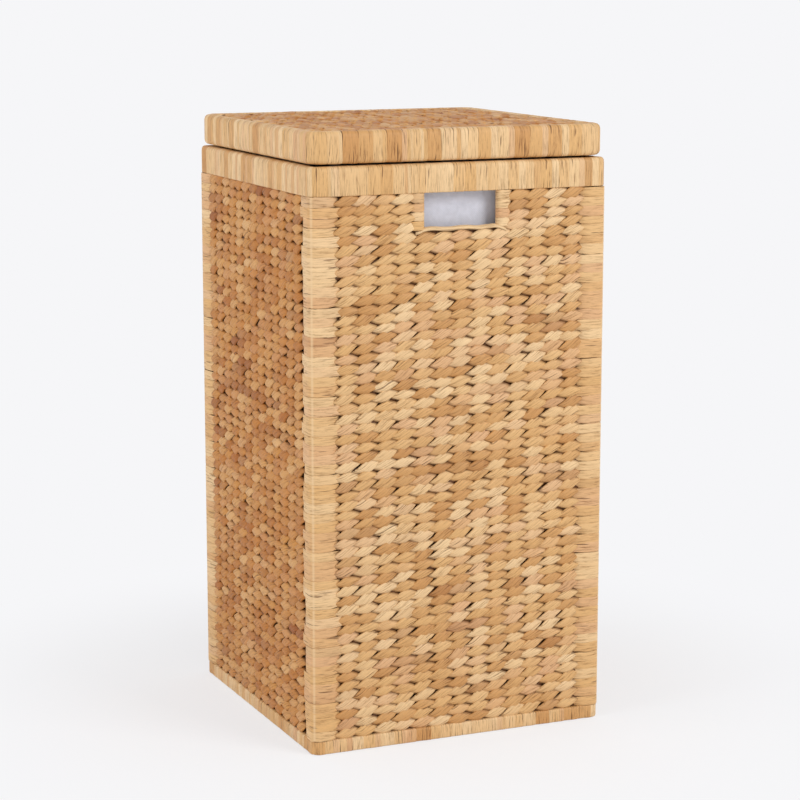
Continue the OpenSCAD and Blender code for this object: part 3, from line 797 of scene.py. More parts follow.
def strand_material(name, colours, deep, run, gap_shade_stops, streak_mm, browns, streak_dark, crack_from):
    """Dried water hyacinth strand: flattened stems with fine long fibres, satin where lacquer sits on them.

    Each strand has its own tone, runs of red-brown follow a row and fibres streak along it. Its sunk
    parts are painted towards the shade colour as painted shade, a sunk value below 0 is painted pale as a
    highlight, and an amber wash darkens some panels, partly their own tone and partly painted shade.
    """
    material, tree = new_material(name)
    shades = ("straw", "pale", "rose", "amber", "russet", "shade")
    rgb = {key: [*getattr(colours, key), 1.0] for key in shades}
    tone = node(tree, "ShaderNodeAttribute", attribute_name="tone")
    seat = node(tree, "ShaderNodeAttribute", attribute_name="seat")
    sunk = node(tree, "ShaderNodeAttribute", attribute_name="sunk")
    fibre = node(tree, "ShaderNodeUVMap", uv_map="fibre")
    warmth = node(tree, "ShaderNodeAttribute", attribute_name="warmth")
    colour = node(tree, "ShaderNodeValToRGB", {0: tone.outputs["Fac"]}, stops=(
        (0.0, rgb["pale"]), (0.2, rgb["straw"]), (0.36, rgb["rose"]), (0.52, rgb["pale"]),
        (0.66, rgb["straw"]), (0.78, rgb[deep[0]]), (0.87, rgb["straw"]), (1.0, rgb[deep[1]])))
    stretched = node(tree, "ShaderNodeVectorMath", {0: seat.outputs["Vector"], 1: run},
                     operation="MULTIPLY")
    patch = node(tree, "ShaderNodeTexNoise", {"Vector": stretched, "Scale": 1.0, "Detail": 2.0})
    brown = node(tree, "ShaderNodeValToRGB", {0: patch}, stops=(
        (browns[0], (0, 0, 0, 1)), (browns[1], (0.8, 0.8, 0.8, 1))))
    scrambled = node(tree, "ShaderNodeMath", {0: tone.outputs["Fac"], 1: 7.0}, operation="MULTIPLY")
    chance = node(tree, "ShaderNodeMath", {0: scrambled}, operation="FRACT")
    uneven = node(tree, "ShaderNodeMath", {0: chance, 1: 0.4, 2: 0.56}, operation="MULTIPLY_ADD")
    # partly the panel's own amber tone and partly painted shade: this share of the amber wash is largest on
    # the front wall, which stands in shade
    amber_and_shade_share = node(tree, "ShaderNodeMath", {0: uneven, 1: warmth.outputs["Fac"]}, operation="MULTIPLY")
    along = node(tree, "ShaderNodeSeparateXYZ", {0: fibre})
    apart = node(tree, "ShaderNodeMath", {0: tone.outputs["Fac"], 1: 97.0}, operation="MULTIPLY")
    streaks = fibre_noise(tree, along, apart, 0.05, 1 / streak_mm, 5.0, 0.72)
    streak_tint = node(tree, "ShaderNodeValToRGB", {0: streaks}, stops=(
        (0.30, linear(streak_dark)), (0.47, (0.93, 0.92, 0.90, 1)), (0.68, (1.08, 1.06, 1.02, 1))))
    cracks = fibre_noise(tree, along, apart, 0.03, 0.55, 2.5, 0.5)
    cracked = node(tree, "ShaderNodeValToRGB", {0: cracks}, stops=(
        (crack_from, (0, 0, 0, 1)), (crack_from + 0.05, (0.75, 0.75, 0.75, 1))))
    # painted highlight: a sunk value below 0 mixes the strand towards pale, a painted highlight line on a
    # bound corner's crest
    painted_corner_highlight = node(tree, "ShaderNodeMath", {0: sunk.outputs["Fac"], 1: -0.7}, operation="MULTIPLY",
                use_clamp=True)
    # painted shade: the deeper a point is sunk, the more it is mixed towards the shade colour, as painted
    # shade in the gaps, grooves and undersides
    painted_gap_shade = node(tree, "ShaderNodeValToRGB", {0: sunk.outputs["Fac"]}, stops=(
        (gap_shade_stops[0], (0, 0, 0, 1)), (gap_shade_stops[1], (0.48, 0.48, 0.48, 1)), (gap_shade_stops[2], (1, 1, 1, 1))))
    for share, layer, blend in ((brown, rgb["russet"], "MIX"), (amber_and_shade_share, AMBER_AND_SHADE_WASH, "MULTIPLY"),
                                (1.0, streak_tint, "MULTIPLY"), (cracked, rgb["shade"], "MIX"),
                                (painted_corner_highlight, rgb["pale"], "MIX"), (painted_gap_shade, rgb["shade"], "MIX")):
        colour = node(tree, "ShaderNodeMix", {"Factor": share, "A": colour, "B": layer},
                      data_type="RGBA", blend_type=blend)
    gloss = node(tree, "ShaderNodeMapRange", {"Value": streaks, "To Min": 0.62, "To Max": 0.44})
    relief = node(tree, "ShaderNodeMath", {0: cracked, 1: -1.4, 2: streaks}, operation="MULTIPLY_ADD")
    bump = node(tree, "ShaderNodeBump", {"Strength": 0.55, "Distance": 0.35 * MM, "Height": relief})
    shader = node(tree, "ShaderNodeBsdfPrincipled", {
        "Base Color": colour, "Roughness": gloss, "Normal": bump, "Specular IOR Level": 0.3})
    finish_material(tree, shader)
    return material


def grained_material(name, texture, grain, stops, relief, depth_mm, rough, sheen=0.0):
    """A finish whose fine grain drives both its colour and its relief."""
    material, tree = new_material(name)
    place = node(tree, "ShaderNodeTexCoord")
    grain = node(tree, texture, {"Vector": place.outputs["Object"], **grain})
    colour = node(tree, "ShaderNodeValToRGB", {0: grain}, stops=[(at, linear(c)) for at, c in stops])
    bump = node(tree, "ShaderNodeBump", {"Strength": relief, "Distance": depth_mm * MM, "Height": grain})
    finish_material(tree, node(tree, "ShaderNodeBsdfPrincipled", {
        "Base Color": colour, "Roughness": rough, "Normal": bump, "Sheen Weight": sheen}))
    return material


def cloth_material(name, colour, thread_mm, rough):
    """Plain-weave cotton: crossed threads with a soft nap. The threads are drawn coarse, to show."""
    material, tree = new_material(name)
    grid = node(tree, "ShaderNodeUVMap", uv_map="fibre")
    per_mm = tau / thread_mm / 2
    waves = []
    parts = node(tree, "ShaderNodeSeparateXYZ", {0: grid})
    for axis in (0, 1):
        turn = node(tree, "ShaderNodeMath", {0: parts.outputs[axis], 1: per_mm}, operation="MULTIPLY")
        waves.append(node(tree, "ShaderNodeMath", {0: turn}, operation="SINE"))
    crossed = node(tree, "ShaderNodeMath", {0: waves[0], 1: waves[1]}, operation="MULTIPLY")
    nap = node(tree, "ShaderNodeTexNoise", {"Vector": grid, "Scale": 0.12, "Detail": 5.0, "Roughness": 0.6})
    height = node(tree, "ShaderNodeMath", {0: crossed, 1: 0.5, 2: nap}, operation="MULTIPLY_ADD")
    darker = [c * 0.86 for c in colour[:3]] + [1.0]
    cloth = node(tree, "ShaderNodeValToRGB", {0: nap}, stops=((0.3, darker), (0.65, [*colour[:3], 1.0])))
    bump = node(tree, "ShaderNodeBump", {"Strength": 0.35, "Distance": 0.25 * MM, "Height": height})
    finish_material(tree, node(tree, "ShaderNodeBsdfPrincipled", {
        "Base Color": cloth, "Roughness": rough, "Normal": bump, "Sheen Weight": 0.25,
        "Sheen Roughness": 0.5}))
    return material


def seen_share(tree):
    """1 for a ray that shows the surface to the camera, and 0 for a ray that only lights something."""
    rays = node(tree, "ShaderNodeLightPath")
    direct = node(tree, "ShaderNodeMath", {
        0: rays.outputs["Is Camera Ray"], 1: rays.outputs["Is Glossy Ray"]}, operation="MAXIMUM")
    return node(tree, "ShaderNodeMath", {
        0: direct, 1: rays.outputs["Is Transmission Ray"]}, operation="MAXIMUM")


def backdrop_material(colour):
    """Plain pale paper sweep: it takes the hamper's soft shadow and fades into the background's colour."""
    material, tree = new_material("paper_sweep")
    place = node(tree, "ShaderNodeTexCoord")
    flat = node(tree, "ShaderNodeVectorMath", {0: place.outputs["Object"], 1: (1.0, 1.0, 0.0)},
                operation="MULTIPLY")
    away = node(tree, "ShaderNodeVectorMath", {0: flat}, operation="LENGTH")
    fade = node(tree, "ShaderNodeMapRange", {
        "Value": away, "From Min": 0.25, "From Max": 0.62, "To Min": 0.66, "To Max": 1.0},
        interpolation_type="SMOOTHSTEP")
    paper = node(tree, "ShaderNodeBsdfDiffuse", {"Color": (0.93, 0.93, 0.94, 1.0)})
    seen = node(tree, "ShaderNodeEmission", {"Color": [*colour, 1.0], "Strength": 1.0})
    share = node(tree, "ShaderNodeMath", {0: seen_share(tree), 1: fade}, operation="MULTIPLY")
    finish_material(tree, node(tree, "ShaderNodeMixShader", {0: share, 1: paper, 2: seen}))
    return material


def dress(node_name, material):
    """Gives a CAD node its finish."""
    target = frame["nodes"][node_name]
    target.data.materials.clear()
    target.data.materials.append(material)


# ---------------------------------------------------------------------------
# Shared materials and templates, made once
# ---------------------------------------------------------------------------

def finish_named(name):
    found = bpy.data.materials.get(name)
    if found is None:
        raise RuntimeError(f"the material {name} isn't made yet")
    return found


class HAMPER_OT_finishes(bpy.types.Operator):
    """Make the finishes and give the frame's own pieces theirs"""
    bl_idname = "hamper.finishes"
    bl_label = "Finishes"

    def execute(self, context):
        colours = context.scene.hamper_colours
        # The third tuple of each strand finish gives where its painted shade in the gaps starts, is half
        # and is full.
        strand_material("twined_hyacinth", colours, ("amber", "amber"), (13.0, 13.0, 105.0),
                        (0.26, 0.48, 0.74), 1.3, (0.58, 0.70), "#AD9678", 0.66)
        strand_material("wrapped_hyacinth", colours, ("pale", "amber"), (60.0, 60.0, 60.0),
                        (0.4, 0.7, 1.0), 1.4, (0.62, 0.84), "#A0886C", 0.63)
        strand_material("bound_hyacinth", colours, ("pale", "rose"), (10.0, 10.0, 95.0),
                        (0.5, 0.8, 1.2), 1.5, (0.60, 0.74), "#AE977C", 0.66)
        cloth_material("plain_weave_cotton", colours.cotton, 1.2, 0.88)
        # Peeled cane is matt with fine fibres, baked powder coat is satin with an orange-peel texture,
        # and the tape's short nylon loops scatter light.
        cane = grained_material("peeled_rattan_cane", "ShaderNodeTexNoise", {"Scale": 900.0, "Detail": 3.0},
                                ((0.3, "#6E4A26"), (0.7, "#A5794A")), 0.4, 0.2, 0.62)
        rod = grained_material("powder_coated_steel", "ShaderNodeTexNoise",
                               {"Scale": 1400.0, "Detail": 2.0},
                               ((0.3, "#222224"), (0.7, "#2E2E30")), 0.25, 0.1, 0.42)
        tape = grained_material("hook_and_loop_tape", "ShaderNodeTexVoronoi", {"Scale": 1300.0},
                                ((0.1, "#F0F0EE"), (0.8, "#CFCFCC")), 0.6, 0.3, 0.85, sheen=0.3)
        for name in frame["nodes"]:
            if "rod" in name or "post" in name:
                dress(name, rod)
            elif "stakes" in name:
                dress(name, cane)
            elif name == "liner_strips":
                dress(name, tape)
        return {"FINISHED"}


def rows_across(across, weave):
    """How many rows of twine fill a height, and their pitch."""
    rows = round(across / weave.row_pitch)
    return rows, across / rows


def leaf_sets(weave):
    dice = random.Random(weave.seed)
    outer = template_set("outer_leaf", [
        leaf_mesh(f"outer_leaf_{i}", dice, weave, 10, 8) for i in range(OUTER_LEAVES)])
    inner = template_set("inner_leaf", [
        leaf_mesh(f"inner_leaf_{i}", dice, weave, 7, 6) for i in range(INNER_LEAVES)])
    return outer, inner


def twine(name, body, replaced, leaves, place, given):
    """Grows one twined panel in the place of a CAD node."""
    tree = bpy.data.node_groups.get("twined_panel") or twined_tree()
    panel = grown(name, tree, {
        "Outer Leaves": leaves[0], "Inner Leaves": leaves[1],
        "Material": finish_named("twined_hyacinth"), **given}, place)
    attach(panel, body)
    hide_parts(replaced)


class HAMPER_OT_walls(bpy.types.Operator):
    """Twine the four walls round their stakes"""
    bl_idname = "hamper.walls"
    bl_label = "Twined walls"

    def execute(self, context):
        weave = context.scene.hamper_weave
        leaves = leaf_sets(weave)
        rows, pitch = rows_across(RIM_FOOT - BASE_TOP, weave)
        reach = max(abs(lowest("stakes_front").x), abs(highest("stakes_front").x))
        columns = 2 * round(reach / weave.stake_pitch) + 1
        for number, side in enumerate(SIDES):
            slotted = side in SLOT_SIDES
            place = turned(side) @ Matrix.Translation((0, -WALL_MID, 0))
            twine(f"twined_wall_{side}", "hamper", f"weave_{side}", leaves, place, {
                "Width": weave.stake_pitch * (columns - 1), "Height": pitch * (rows - 1),
                "Columns": columns, "Rows": rows, "Foot": BASE_TOP + pitch / 2, "Wander": weave.wander,
                "Slot Half": SLOT_HALF + 6 * MM if slotted else 0.0,
                "Slot Sill": SLOT_SILL - pitch * 0.45, "Warmth": AMBER_AND_SHADE_BY_SIDE[side],
                "Seed": weave.seed + number, "Spread": (number * 1.7, 0.0, 0.0)})
        clear_templates(*leaves)
        return {"FINISHED"}


class HAMPER_OT_panels(bpy.types.Operator):
    """Twine the lid's panel and the bottom"""
    bl_idname = "hamper.panels"
    bl_label = "Lid and bottom panels"

    def execute(self, context):
        weave = context.scene.hamper_weave
        leaves = leaf_sets(weave)
        for name, body, replaced, seed in (("twined_lid_panel", "lid", "lid_weave", 31),
                                           ("twined_bottom", "hamper", "bottom_weave", 47)):
            low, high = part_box(replaced)
            across = high.y - low.y
            rows, pitch = rows_across(across, weave)
            columns = round((high.x - low.x) / weave.stake_pitch)
            wide = high.x - low.x - 16 * MM  # the outermost leaves end inside the band
            place = Matrix.Translation((0, -across / 2, (low.z + high.z) / 2)) @ FLAT_ON_TOP
            twine(name, body, replaced, leaves, place, {
                "Width": wide, "Height": pitch * (rows - 1),
                "Columns": columns, "Rows": rows, "Foot": pitch / 2, "Wander": weave.wander / 2,
                "Slot Half": 0.0, "Slot Sill": 0.0, "Warmth": 0.8, "Seed": seed,
                "Spread": (seed * 0.4, 0.0, 0.0)})
        clear_templates(*leaves)
        return {"FINISHED"}


class HAMPER_OT_corners(bpy.types.Operator):
    """Bind the four corners"""
    bl_idname = "hamper.corners"
    bl_label = "Bound corners"

    def execute(self, context):
        sizes = context.scene.hamper_corners
        weave = context.scene.hamper_weave
        dice = random.Random(weave.seed + 100)
        tree = stacked_tree()
        strands = template_set("corner_strand", [
            corner_strand(f"corner_strand_{i}", dice, sizes) for i in range(CORNER_STRANDS)])
        rows, pitch = rows_across(RIM_FOOT - BASE_TOP, weave)
        for number, side in enumerate(SIDES):
            place = turned(side) @ Matrix.Translation((-HALF, -HALF, 0))
            corner = grown(f"bound_corner_{side}", tree, {
                "Strands": strands, "Count": rows, "Start": (0.0, 0.0, BASE_TOP + pitch / 2),
                "Pitch": pitch, "Shake": 0.8 * MM, "Turn": 0.0, "Seed": 61 + number,
                "Spread": (number * 2.3, 0.7, 0.0), "Material": finish_named("bound_hyacinth")}, place)
            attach(corner, "hamper")
            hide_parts(f"corner_wrap_{side}")
        clear_templates(strands)
        return {"FINISHED"}


class HAMPER_OT_slots(bpy.types.Operator):
    """Bind the edges of the hand slots"""
    bl_idname = "hamper.slots"
    bl_label = "Hand slots"

    def execute(self, context):
        dice = random.Random(211)
        tree = stacked_tree()
        turns = template_set("slot_turn", [slot_turn(f"slot_turn_{i}", dice) for i in range(SLOT_TURNS)])
        pitch = (RIM_FOOT - SLOT_SILL + 3 * MM) / SLOT_STRANDS
        for side in SLOT_SIDES:
            edges = []
            for number, (x, turn) in enumerate(((SLOT_HALF, 0.0), (-SLOT_HALF, pi))):
                place = turned(side) @ Matrix.Translation((0, -WALL_MID, 0))
                edges.append(grown(f"slot_edge_{side}_{number}", tree, {
                    "Strands": turns, "Count": SLOT_STRANDS,
                    "Start": (x, 0.0, SLOT_SILL - 3 * MM + pitch / 2), "Pitch": pitch,
                    "Shake": 0.3 * MM, "Turn": turn, "Seed": 5 + number, "Spread": (x, 3.0, 0.0),
                    "Material": finish_named("bound_hyacinth")}, place))
            sill = sill_mesh("sill", dice)
            sill.materials.append(finish_named("bound_hyacinth"))
            sill.transform(turned(side) @ Matrix.Translation((0, -WALL_MID, 0)))
            meshes = [item.data for item in edges] + [sill]
            for item in edges:
                bpy.data.objects.remove(item)
            binding = in_scene(f"bound_slot_{side}", joined_mesh("bound_slot", meshes))
            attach(binding, "hamper")
            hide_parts(f"slot_binding_{side}")
        clear_templates(turns)
        return {"FINISHED"}


def sill_mesh(name, dice):
    """The strand that covers the top of the weave under a hand slot."""
    half = SLOT_HALF + 10 * MM
    steps = 24
    made = []
    for i in range(steps + 1):
        t = -1 + 2 * i / steps
        x = half * t
        rise = 0.5 * MM * sin(9 * t + 1) + dice.uniform(-0.1, 0.1) * MM
        rise -= 16 * MM * max(abs(t) - 0.8, 0)
        wide = (WALL_T / 2 - 0.1 * MM) * (1 - 0.12 * abs(sin(7 * t)))
        ring = []
        for j in range(12):
            a = tau * j / 12
            y, z = wide * cos(a), 2.4 * MM * sin(a)
            # painted shade: the sill's underside is marked sunk, so the material darkens it as painted
            # shade
            sunk = 0.0 if sin(a) > -0.3 else 0.8
            ring.append(((x, y, SLOT_SILL - 2.6 * MM + z + rise), x / MM, 12 * a / tau * 2, sunk))
        made.append(ring)
    return swept(name, made)


class HAMPER_OT_bands(bpy.types.Operator):
    """Wrap the rim, the base and the lid's edge"""
    bl_idname = "hamper.bands"
    bl_label = "Wrapped bands"

    def execute(self, context):
        bands = context.scene.hamper_bands
        tree = wrapped_tree()
        plans = (
            ("wrapped_rim", "rim_wrap", "hamper", HALF, RIM_FOOT, RIM_TOP, 10, 5, 1.6, 11),
            ("wrapped_base", "base_wrap", "hamper", HALF, BASE_FOOT, BASE_TOP, 10, 2.4, 2.0, 12),
            ("wrapped_lid_edge", "lid_wrap", "lid", LID_HALF, LID_FOOT, LID_TOP, 18, 5.5, 5.0, 13),
        )
        for name, stem, body, half, foot, top, corner_r, top_r, foot_r, seed in plans:
            dice = random.Random(seed)
            strips = template_set(name + "_strip", [
                band_strip(f"{name}_strip_{i}", dice, BAND_T, top - foot - 2 * LEAN_ROOM, top_r * MM,
                           foot_r * MM, bands.groove) for i in range(BAND_STRIPS)])
            mean = bands.narrowest + (bands.widest - bands.narrowest) * 0.37
            band = grown(name, tree, {
                "Strips": strips, "Size": 2 * half, "Corner Radius": corner_r * MM, "Thickness": BAND_T,
                "Count": round(8 * half / mean), "Narrowest": bands.narrowest, "Widest": bands.widest,
                "Foot": foot + LEAN_ROOM, "Slack": 0.25 * MM, "Slant": bands.slant, "Seed": seed,
                "Spread": (seed * 1.0, 0.0, 0.0), "Material": finish_named("wrapped_hyacinth")})
            clear_templates(strips)
            if stem == "rim_wrap":
                notched(band, [pocket_for(loop) for loop in LOOPS])
            if stem == "lid_wrap":
                notched(band, [window_for(loop) for loop in LOOPS])
            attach(band, body)
            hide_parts(*(f"{stem}_{side}" for side in SIDES))
        return {"FINISHED"}


def pocket_for(loop):
    """The room that a hinge loop has in the rim: open at the top."""
    low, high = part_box(loop)
    room = 0.1 * MM
    return box_mesh("pocket", (low.x - room, low.y - room, low.z - room),
                    (high.x + room, high.y + room, RIM_TOP + 5 * MM))


def window_for(loop):
    """The room that a hinge loop needs in the lid's back edge over the lid's whole travel."""
    low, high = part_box(loop)
    axis_z = hinge_height()
    reach = 5.9 * MM
    far = LID_HALF + 5 * MM
    shape = [(HINGE_Y - reach, axis_z), (HINGE_Y - reach, LID_FOOT - 5 * MM), (far, LID_FOOT - 5 * MM),
             (far, axis_z + (far - HINGE_Y) * 0.27 + reach), (HINGE_Y, axis_z + reach)]
    for k in range(1, 6):
        a = radians(90 + 15 * k)
        shape.append((HINGE_Y + reach * cos(a), axis_z + reach * sin(a)))
    middle, half = (low.x + high.x) / 2, (high.x - low.x) / 2 + 0.4 * MM
    shell = bmesh.new()
    near = [shell.verts.new((middle - half, y, z)) for y, z in shape]
    away = [shell.verts.new((middle + half, y, z)) for y, z in shape]
    count = len(shape)
    shell.faces.new(near)
    shell.faces.new(list(reversed(away)))
    for i in range(count):
        k = (i + 1) % count
        shell.faces.new((near[i], away[i], away[k], near[k]))
    bmesh.ops.remove_doubles(shell, verts=shell.verts, dist=1e-7)
    bmesh.ops.recalc_face_normals(shell, faces=shell.faces)
    mesh = bpy.data.meshes.new("window")
    shell.to_mesh(mesh)
    shell.free()
    return mesh


def hinge_height():
    low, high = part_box("lid_hinge_rod")
    return (low.z + high.z) / 2


class HAMPER_OT_hinges(bpy.types.Operator):
    """Bind the two hinge loops round the rim's rod and the lid's rod"""
    bl_idname = "hamper.hinges"
    bl_label = "Hinge loops"

    def execute(self, context):
        tree = loop_tree()
        rod_low, rod_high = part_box("rim_rod_back")
        rim_z = (rod_low.z + rod_high.z) / 2
        for number, name in enumerate(LOOPS):
            low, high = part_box(name)
            pitch = (high.x - low.x) / LOOP_TURNS
            distance = hinge_height() - rim_z
            strand_r = 1.14 * MM
            outer_r = (high.y - low.y) / 2
            loop = grown(f"bound_{name}", tree, {
                "Turns": LOOP_TURNS, "Pitch": pitch, "Rod Distance": distance,
                "Path Radius": outer_r - strand_r - 0.05 * MM, "Strand Radius": strand_r,
                "Start": (low.x + pitch / 2, (low.y + high.y) / 2, rim_z + distance / 2),
                "Seed": 3 + number, "Spread": (0.4 * number, 5.0, 0.0),
                "Material": finish_named("bound_hyacinth")})
            loop.data.polygons.foreach_set("use_smooth", [True] * len(loop.data.polygons))
            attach(loop, "hamper")
            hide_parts(name)
        return {"FINISHED"}


# ---------------------------------------------------------------------------
# Liner
# ---------------------------------------------------------------------------

def bag_mesh(name, half, foot, top, cell, corner_r):
    """An open square bag with rounded corners: the floor's border is the foot of the walls."""
    cells = round(2 * half / cell)
    rise = round((top - foot) / cell)
    points, faces, marks = [], [], []

    def eased(x, y):
        """Rounds the corners of the square that x and y lie in."""
        inner = half - corner_r
        big = max(abs(x), abs(y))
        ox, oy = max(abs(x) - inner, 0), max(abs(y) - inner, 0)
        if ox and oy and big:
            far = hypot(ox, oy)
            keep = max(ox, oy) / far
            return ((inner + ox * keep) * (1 if x > 0 else -1), (inner + oy * keep) * (1 if y > 0 else -1))
        return x, y

    index = {}
    for j in range(cells + 1):
        for i in range(cells + 1):
            x, y = -half + 2 * half * i / cells, -half + 2 * half * j / cells
            index[i, j] = len(points)
            points.append((*eased(x, y), foot))
            marks.append((x / MM, y / MM))
    for j in range(cells):
        for i in range(cells):
            faces.append((index[i, j], index[i + 1, j], index[i + 1, j + 1], index[i, j + 1]))
    rim = ([(i, 0) for i in range(cells)] + [(cells, j) for j in range(cells)]
           + [(i, cells) for i in range(cells, 0, -1)] + [(0, j) for j in range(cells, 0, -1)])
    below = [index[spot] for spot in rim]
    for k in range(1, rise + 1):
        z = foot + (top - foot) * k / rise
        level = []
        for number, spot in enumerate(rim):
            x, y = points[index[spot]][:2]
            level.append(len(points))
            points.append((x, y, z))
            marks.append((number * cell / MM, z / MM))
        for m in range(len(rim)):
            n = (m + 1) % len(rim)
            faces.append((below[m], below[n], level[n], level[m]))
        below = level
    mesh = bpy.data.meshes.new(name)
    mesh.from_pydata(points, [], faces)
    fibre = mesh.uv_layers.new(name="fibre")
    for loop in mesh.loops:
        fibre.data[loop.index].uv = marks[loop.vertex_index]
    return mesh


def hang(piece, pinned_from, ease, limits, floor):
    """Lets the bag hang from its hem as cloth, and keeps it off what is round it."""
    rest = [v.co.copy() for v in piece.data.vertices]
    pins = piece.vertex_groups.new(name="hem")
    for vertex in piece.data.vertices:
        over = (vertex.co.z - pinned_from) / (6 * MM)
        if over > -1:
            pins.add([vertex.index], min(max(over + 1, 0.0), 1.0), "REPLACE")
    cloth = piece.modifiers.new("cloth", "CLOTH")
    for key, value in CLOTH.items():
        setattr(cloth.settings, key, value)
    cloth.settings.shrink_min = -ease
    cloth.settings.effector_weights.gravity = 0.35
    cloth.point_cache.frame_start = 1
    cloth.point_cache.frame_end = CLOTH_FRAMES
    for step in range(1, CLOTH_FRAMES + 1):
        bpy.context.scene.frame_set(step)
    evaluated = piece.evaluated_get(bpy.context.evaluated_depsgraph_get())
    moved = [v.co.copy() for v in evaluated.to_mesh().vertices]
    evaluated.to_mesh_clear()
    piece.modifiers.remove(cloth)
    bpy.context.scene.frame_set(1)
    half = max(p.x for p in rest)
    inward, outward = limits
    for vertex, start, end in zip(piece.data.vertices, rest, moved):
        step = end - start
        at_x = abs(abs(start.x) - half) < NEAR_WALL
        at_y = abs(abs(start.y) - half) < NEAR_WALL
        for axis, on_wall in ((0, at_x), (1, at_y)):
            sign = 1 if start[axis] > 0 else -1
            if on_wall:
                step[axis] = sign * min(max(sign * step[axis], -inward), outward)
            else:
                step[axis] = min(max(step[axis], -3 * MM), 3 * MM)
        step.z = min(max(step.z, -2 * MM), 6 * MM)
        if start.z + step.z < floor:
            step.z = floor - start.z
        vertex.co = start + step


def finish_with(piece, *settings):
    """Applies modifiers of these kinds and settings, in order."""
    for kind, values in settings:
        modifier = piece.modifiers.new(kind.lower(), kind)
        for key, value in values.items():
            setattr(modifier, key, value)
    graph = bpy.context.evaluated_depsgraph_get()
    mesh = bpy.data.meshes.new_from_object(piece.evaluated_get(graph))
    piece.modifiers.clear()
    piece.data = mesh
    mesh.polygons.foreach_set("use_smooth", [True] * len(mesh.polygons))


class HAMPER_OT_liner(bpy.types.Operator):
    """Hang the cotton liner from its hem"""
    bl_idname = "hamper.liner"
    bl_label = "Liner"

    def execute(self, context):
        settings = context.scene.hamper_liner
        half = highest("liner_right").x - 0.6 * MM
        top = highest("liner_hem").z
        hem_foot = lowest("liner_hem").z
        foot = lowest("liner_floor").z + 0.8 * MM
        corner_r = 14 * MM
        bag = in_scene("cotton_liner", bag_mesh("cotton_liner", half, foot, top - 1 * MM, settings.cell,
                                                corner_r))
        bag.data.materials.append(finish_named("plain_weave_cotton"))
        hang(bag, hem_foot, settings.ease, (settings.inward, settings.outward), foot - 0.2 * MM)
        finish_with(bag,
                    ("SUBSURF", {"levels": 1, "render_levels": 1}),
                    ("SOLIDIFY", {"thickness": 0.8 * MM, "offset": -1.0, "use_even_offset": False}))
        hem = in_scene("cotton_liner_hem", hem_mesh("cotton_liner_hem", half, hem_foot, top, corner_r))
        hem.data.materials.append(finish_named("plain_weave_cotton"))
        tree = stitch_tree()
        stitch = template_set("stitch", [stitch_mesh("stitch")])
        stitches = grown("liner_stitches", tree, {
            "Size": 2 * (half - 2.15 * MM), "Corner Radius": corner_r - 2 * MM,
            "Height": hem_foot + 2.5 * MM, "Pitch": 3.6 * MM, "Stitch": stitch,
            "Material": finish_named("plain_weave_cotton")})
        clear_templates(stitch)
        for item in (bag, hem, stitches):
            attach(item, "hamper")
        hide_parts(*(f"liner_{side}" for side in SIDES), "liner_floor")
        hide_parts("liner_hem")
        return {"FINISHED"}


def hem_mesh(name, half, foot, top, corner_r):
    """The folded hem: a soft band inside the liner's top edge, rolled at its top."""
    section = []
    for depth, height in ((0.9, 0), (2.1, 0.1), (2.35, 2.6), (2.15, 3.4), (2.3, 9), (2.3, 16), (2.2, 18.6),
                          (1.6, 19.9), (0.9, 19.9)):
        section.append((depth * MM, foot + height / 20 * (top - foot)))
    per_side, per_corner = 14, 5
    inner = half - corner_r
    path = []
    for quarter in range(4):
        turn = Matrix.Rotation(radians(90 * quarter), 3, "Z")
        for k in range(per_side):
            spot = turn @ Vector((-inner + 2 * inner * k / per_side, -half, 0))
            path.append((spot, turn @ Vector((0, -1, 0))))
        for k in range(per_corner):
            a = radians(-90 + 90 * k / per_corner)
            away = turn @ Vector((cos(a), sin(a), 0))
            path.append((turn @ Vector((inner, -inner, 0)) + away * corner_r, away))
    dice = random.Random(17)
    rings, s = [], 0.0
    for i, (spot, outward) in enumerate(path):
        if i:
            s += (spot - path[i - 1][0]).length
        puff = dice.uniform(-0.1, 0.15) * MM
        ring = []
        for depth, height in section:
            point = spot - outward * (depth + puff)
            ring.append(((point.x, point.y, height), s / MM, height / MM, 0.0))
        rings.append(ring)
    rings.append(rings[0])
    mesh = swept(name, rings, closed_ends=False)
    shell = bmesh.new()
    shell.from_mesh(mesh)
    bmesh.ops.remove_doubles(shell, verts=shell.verts, dist=1e-7)
    bmesh.ops.recalc_face_normals(shell, faces=shell.faces)
    shell.to_mesh(mesh)
    shell.free()
    return mesh


def stitch_mesh(name):
    """One stitch: a short thread with rounded ends, along X."""
    rings = []
    for t in (-1, -0.6, 0, 0.6, 1):
        r = 0.32 * MM * (1 - t * t) ** 0.5 + 0.04 * MM
        ring = []
        for j in range(6):
            a = tau * j / 6
            ring.append(((t * 1.3 * MM, r * cos(a), r * sin(a)), t, a, 0.0))
        rings.append(ring)
    return swept(name, rings)


# ---------------------------------------------------------------------------
# Stage
# ---------------------------------------------------------------------------

def lamp(name, place, aim, size, power, colour):
    light = bpy.data.lights.new(name, "AREA")
    light.shape = "RECTANGLE"
    light.size, light.size_y = size
    light.energy = power
    light.color = linear(colour)[:3]
    holder = in_scene(name, light)
    holder.location = place
    holder.rotation_euler = (Vector(aim) - Vector(place)).to_track_quat("-Z", "Y").to_euler()


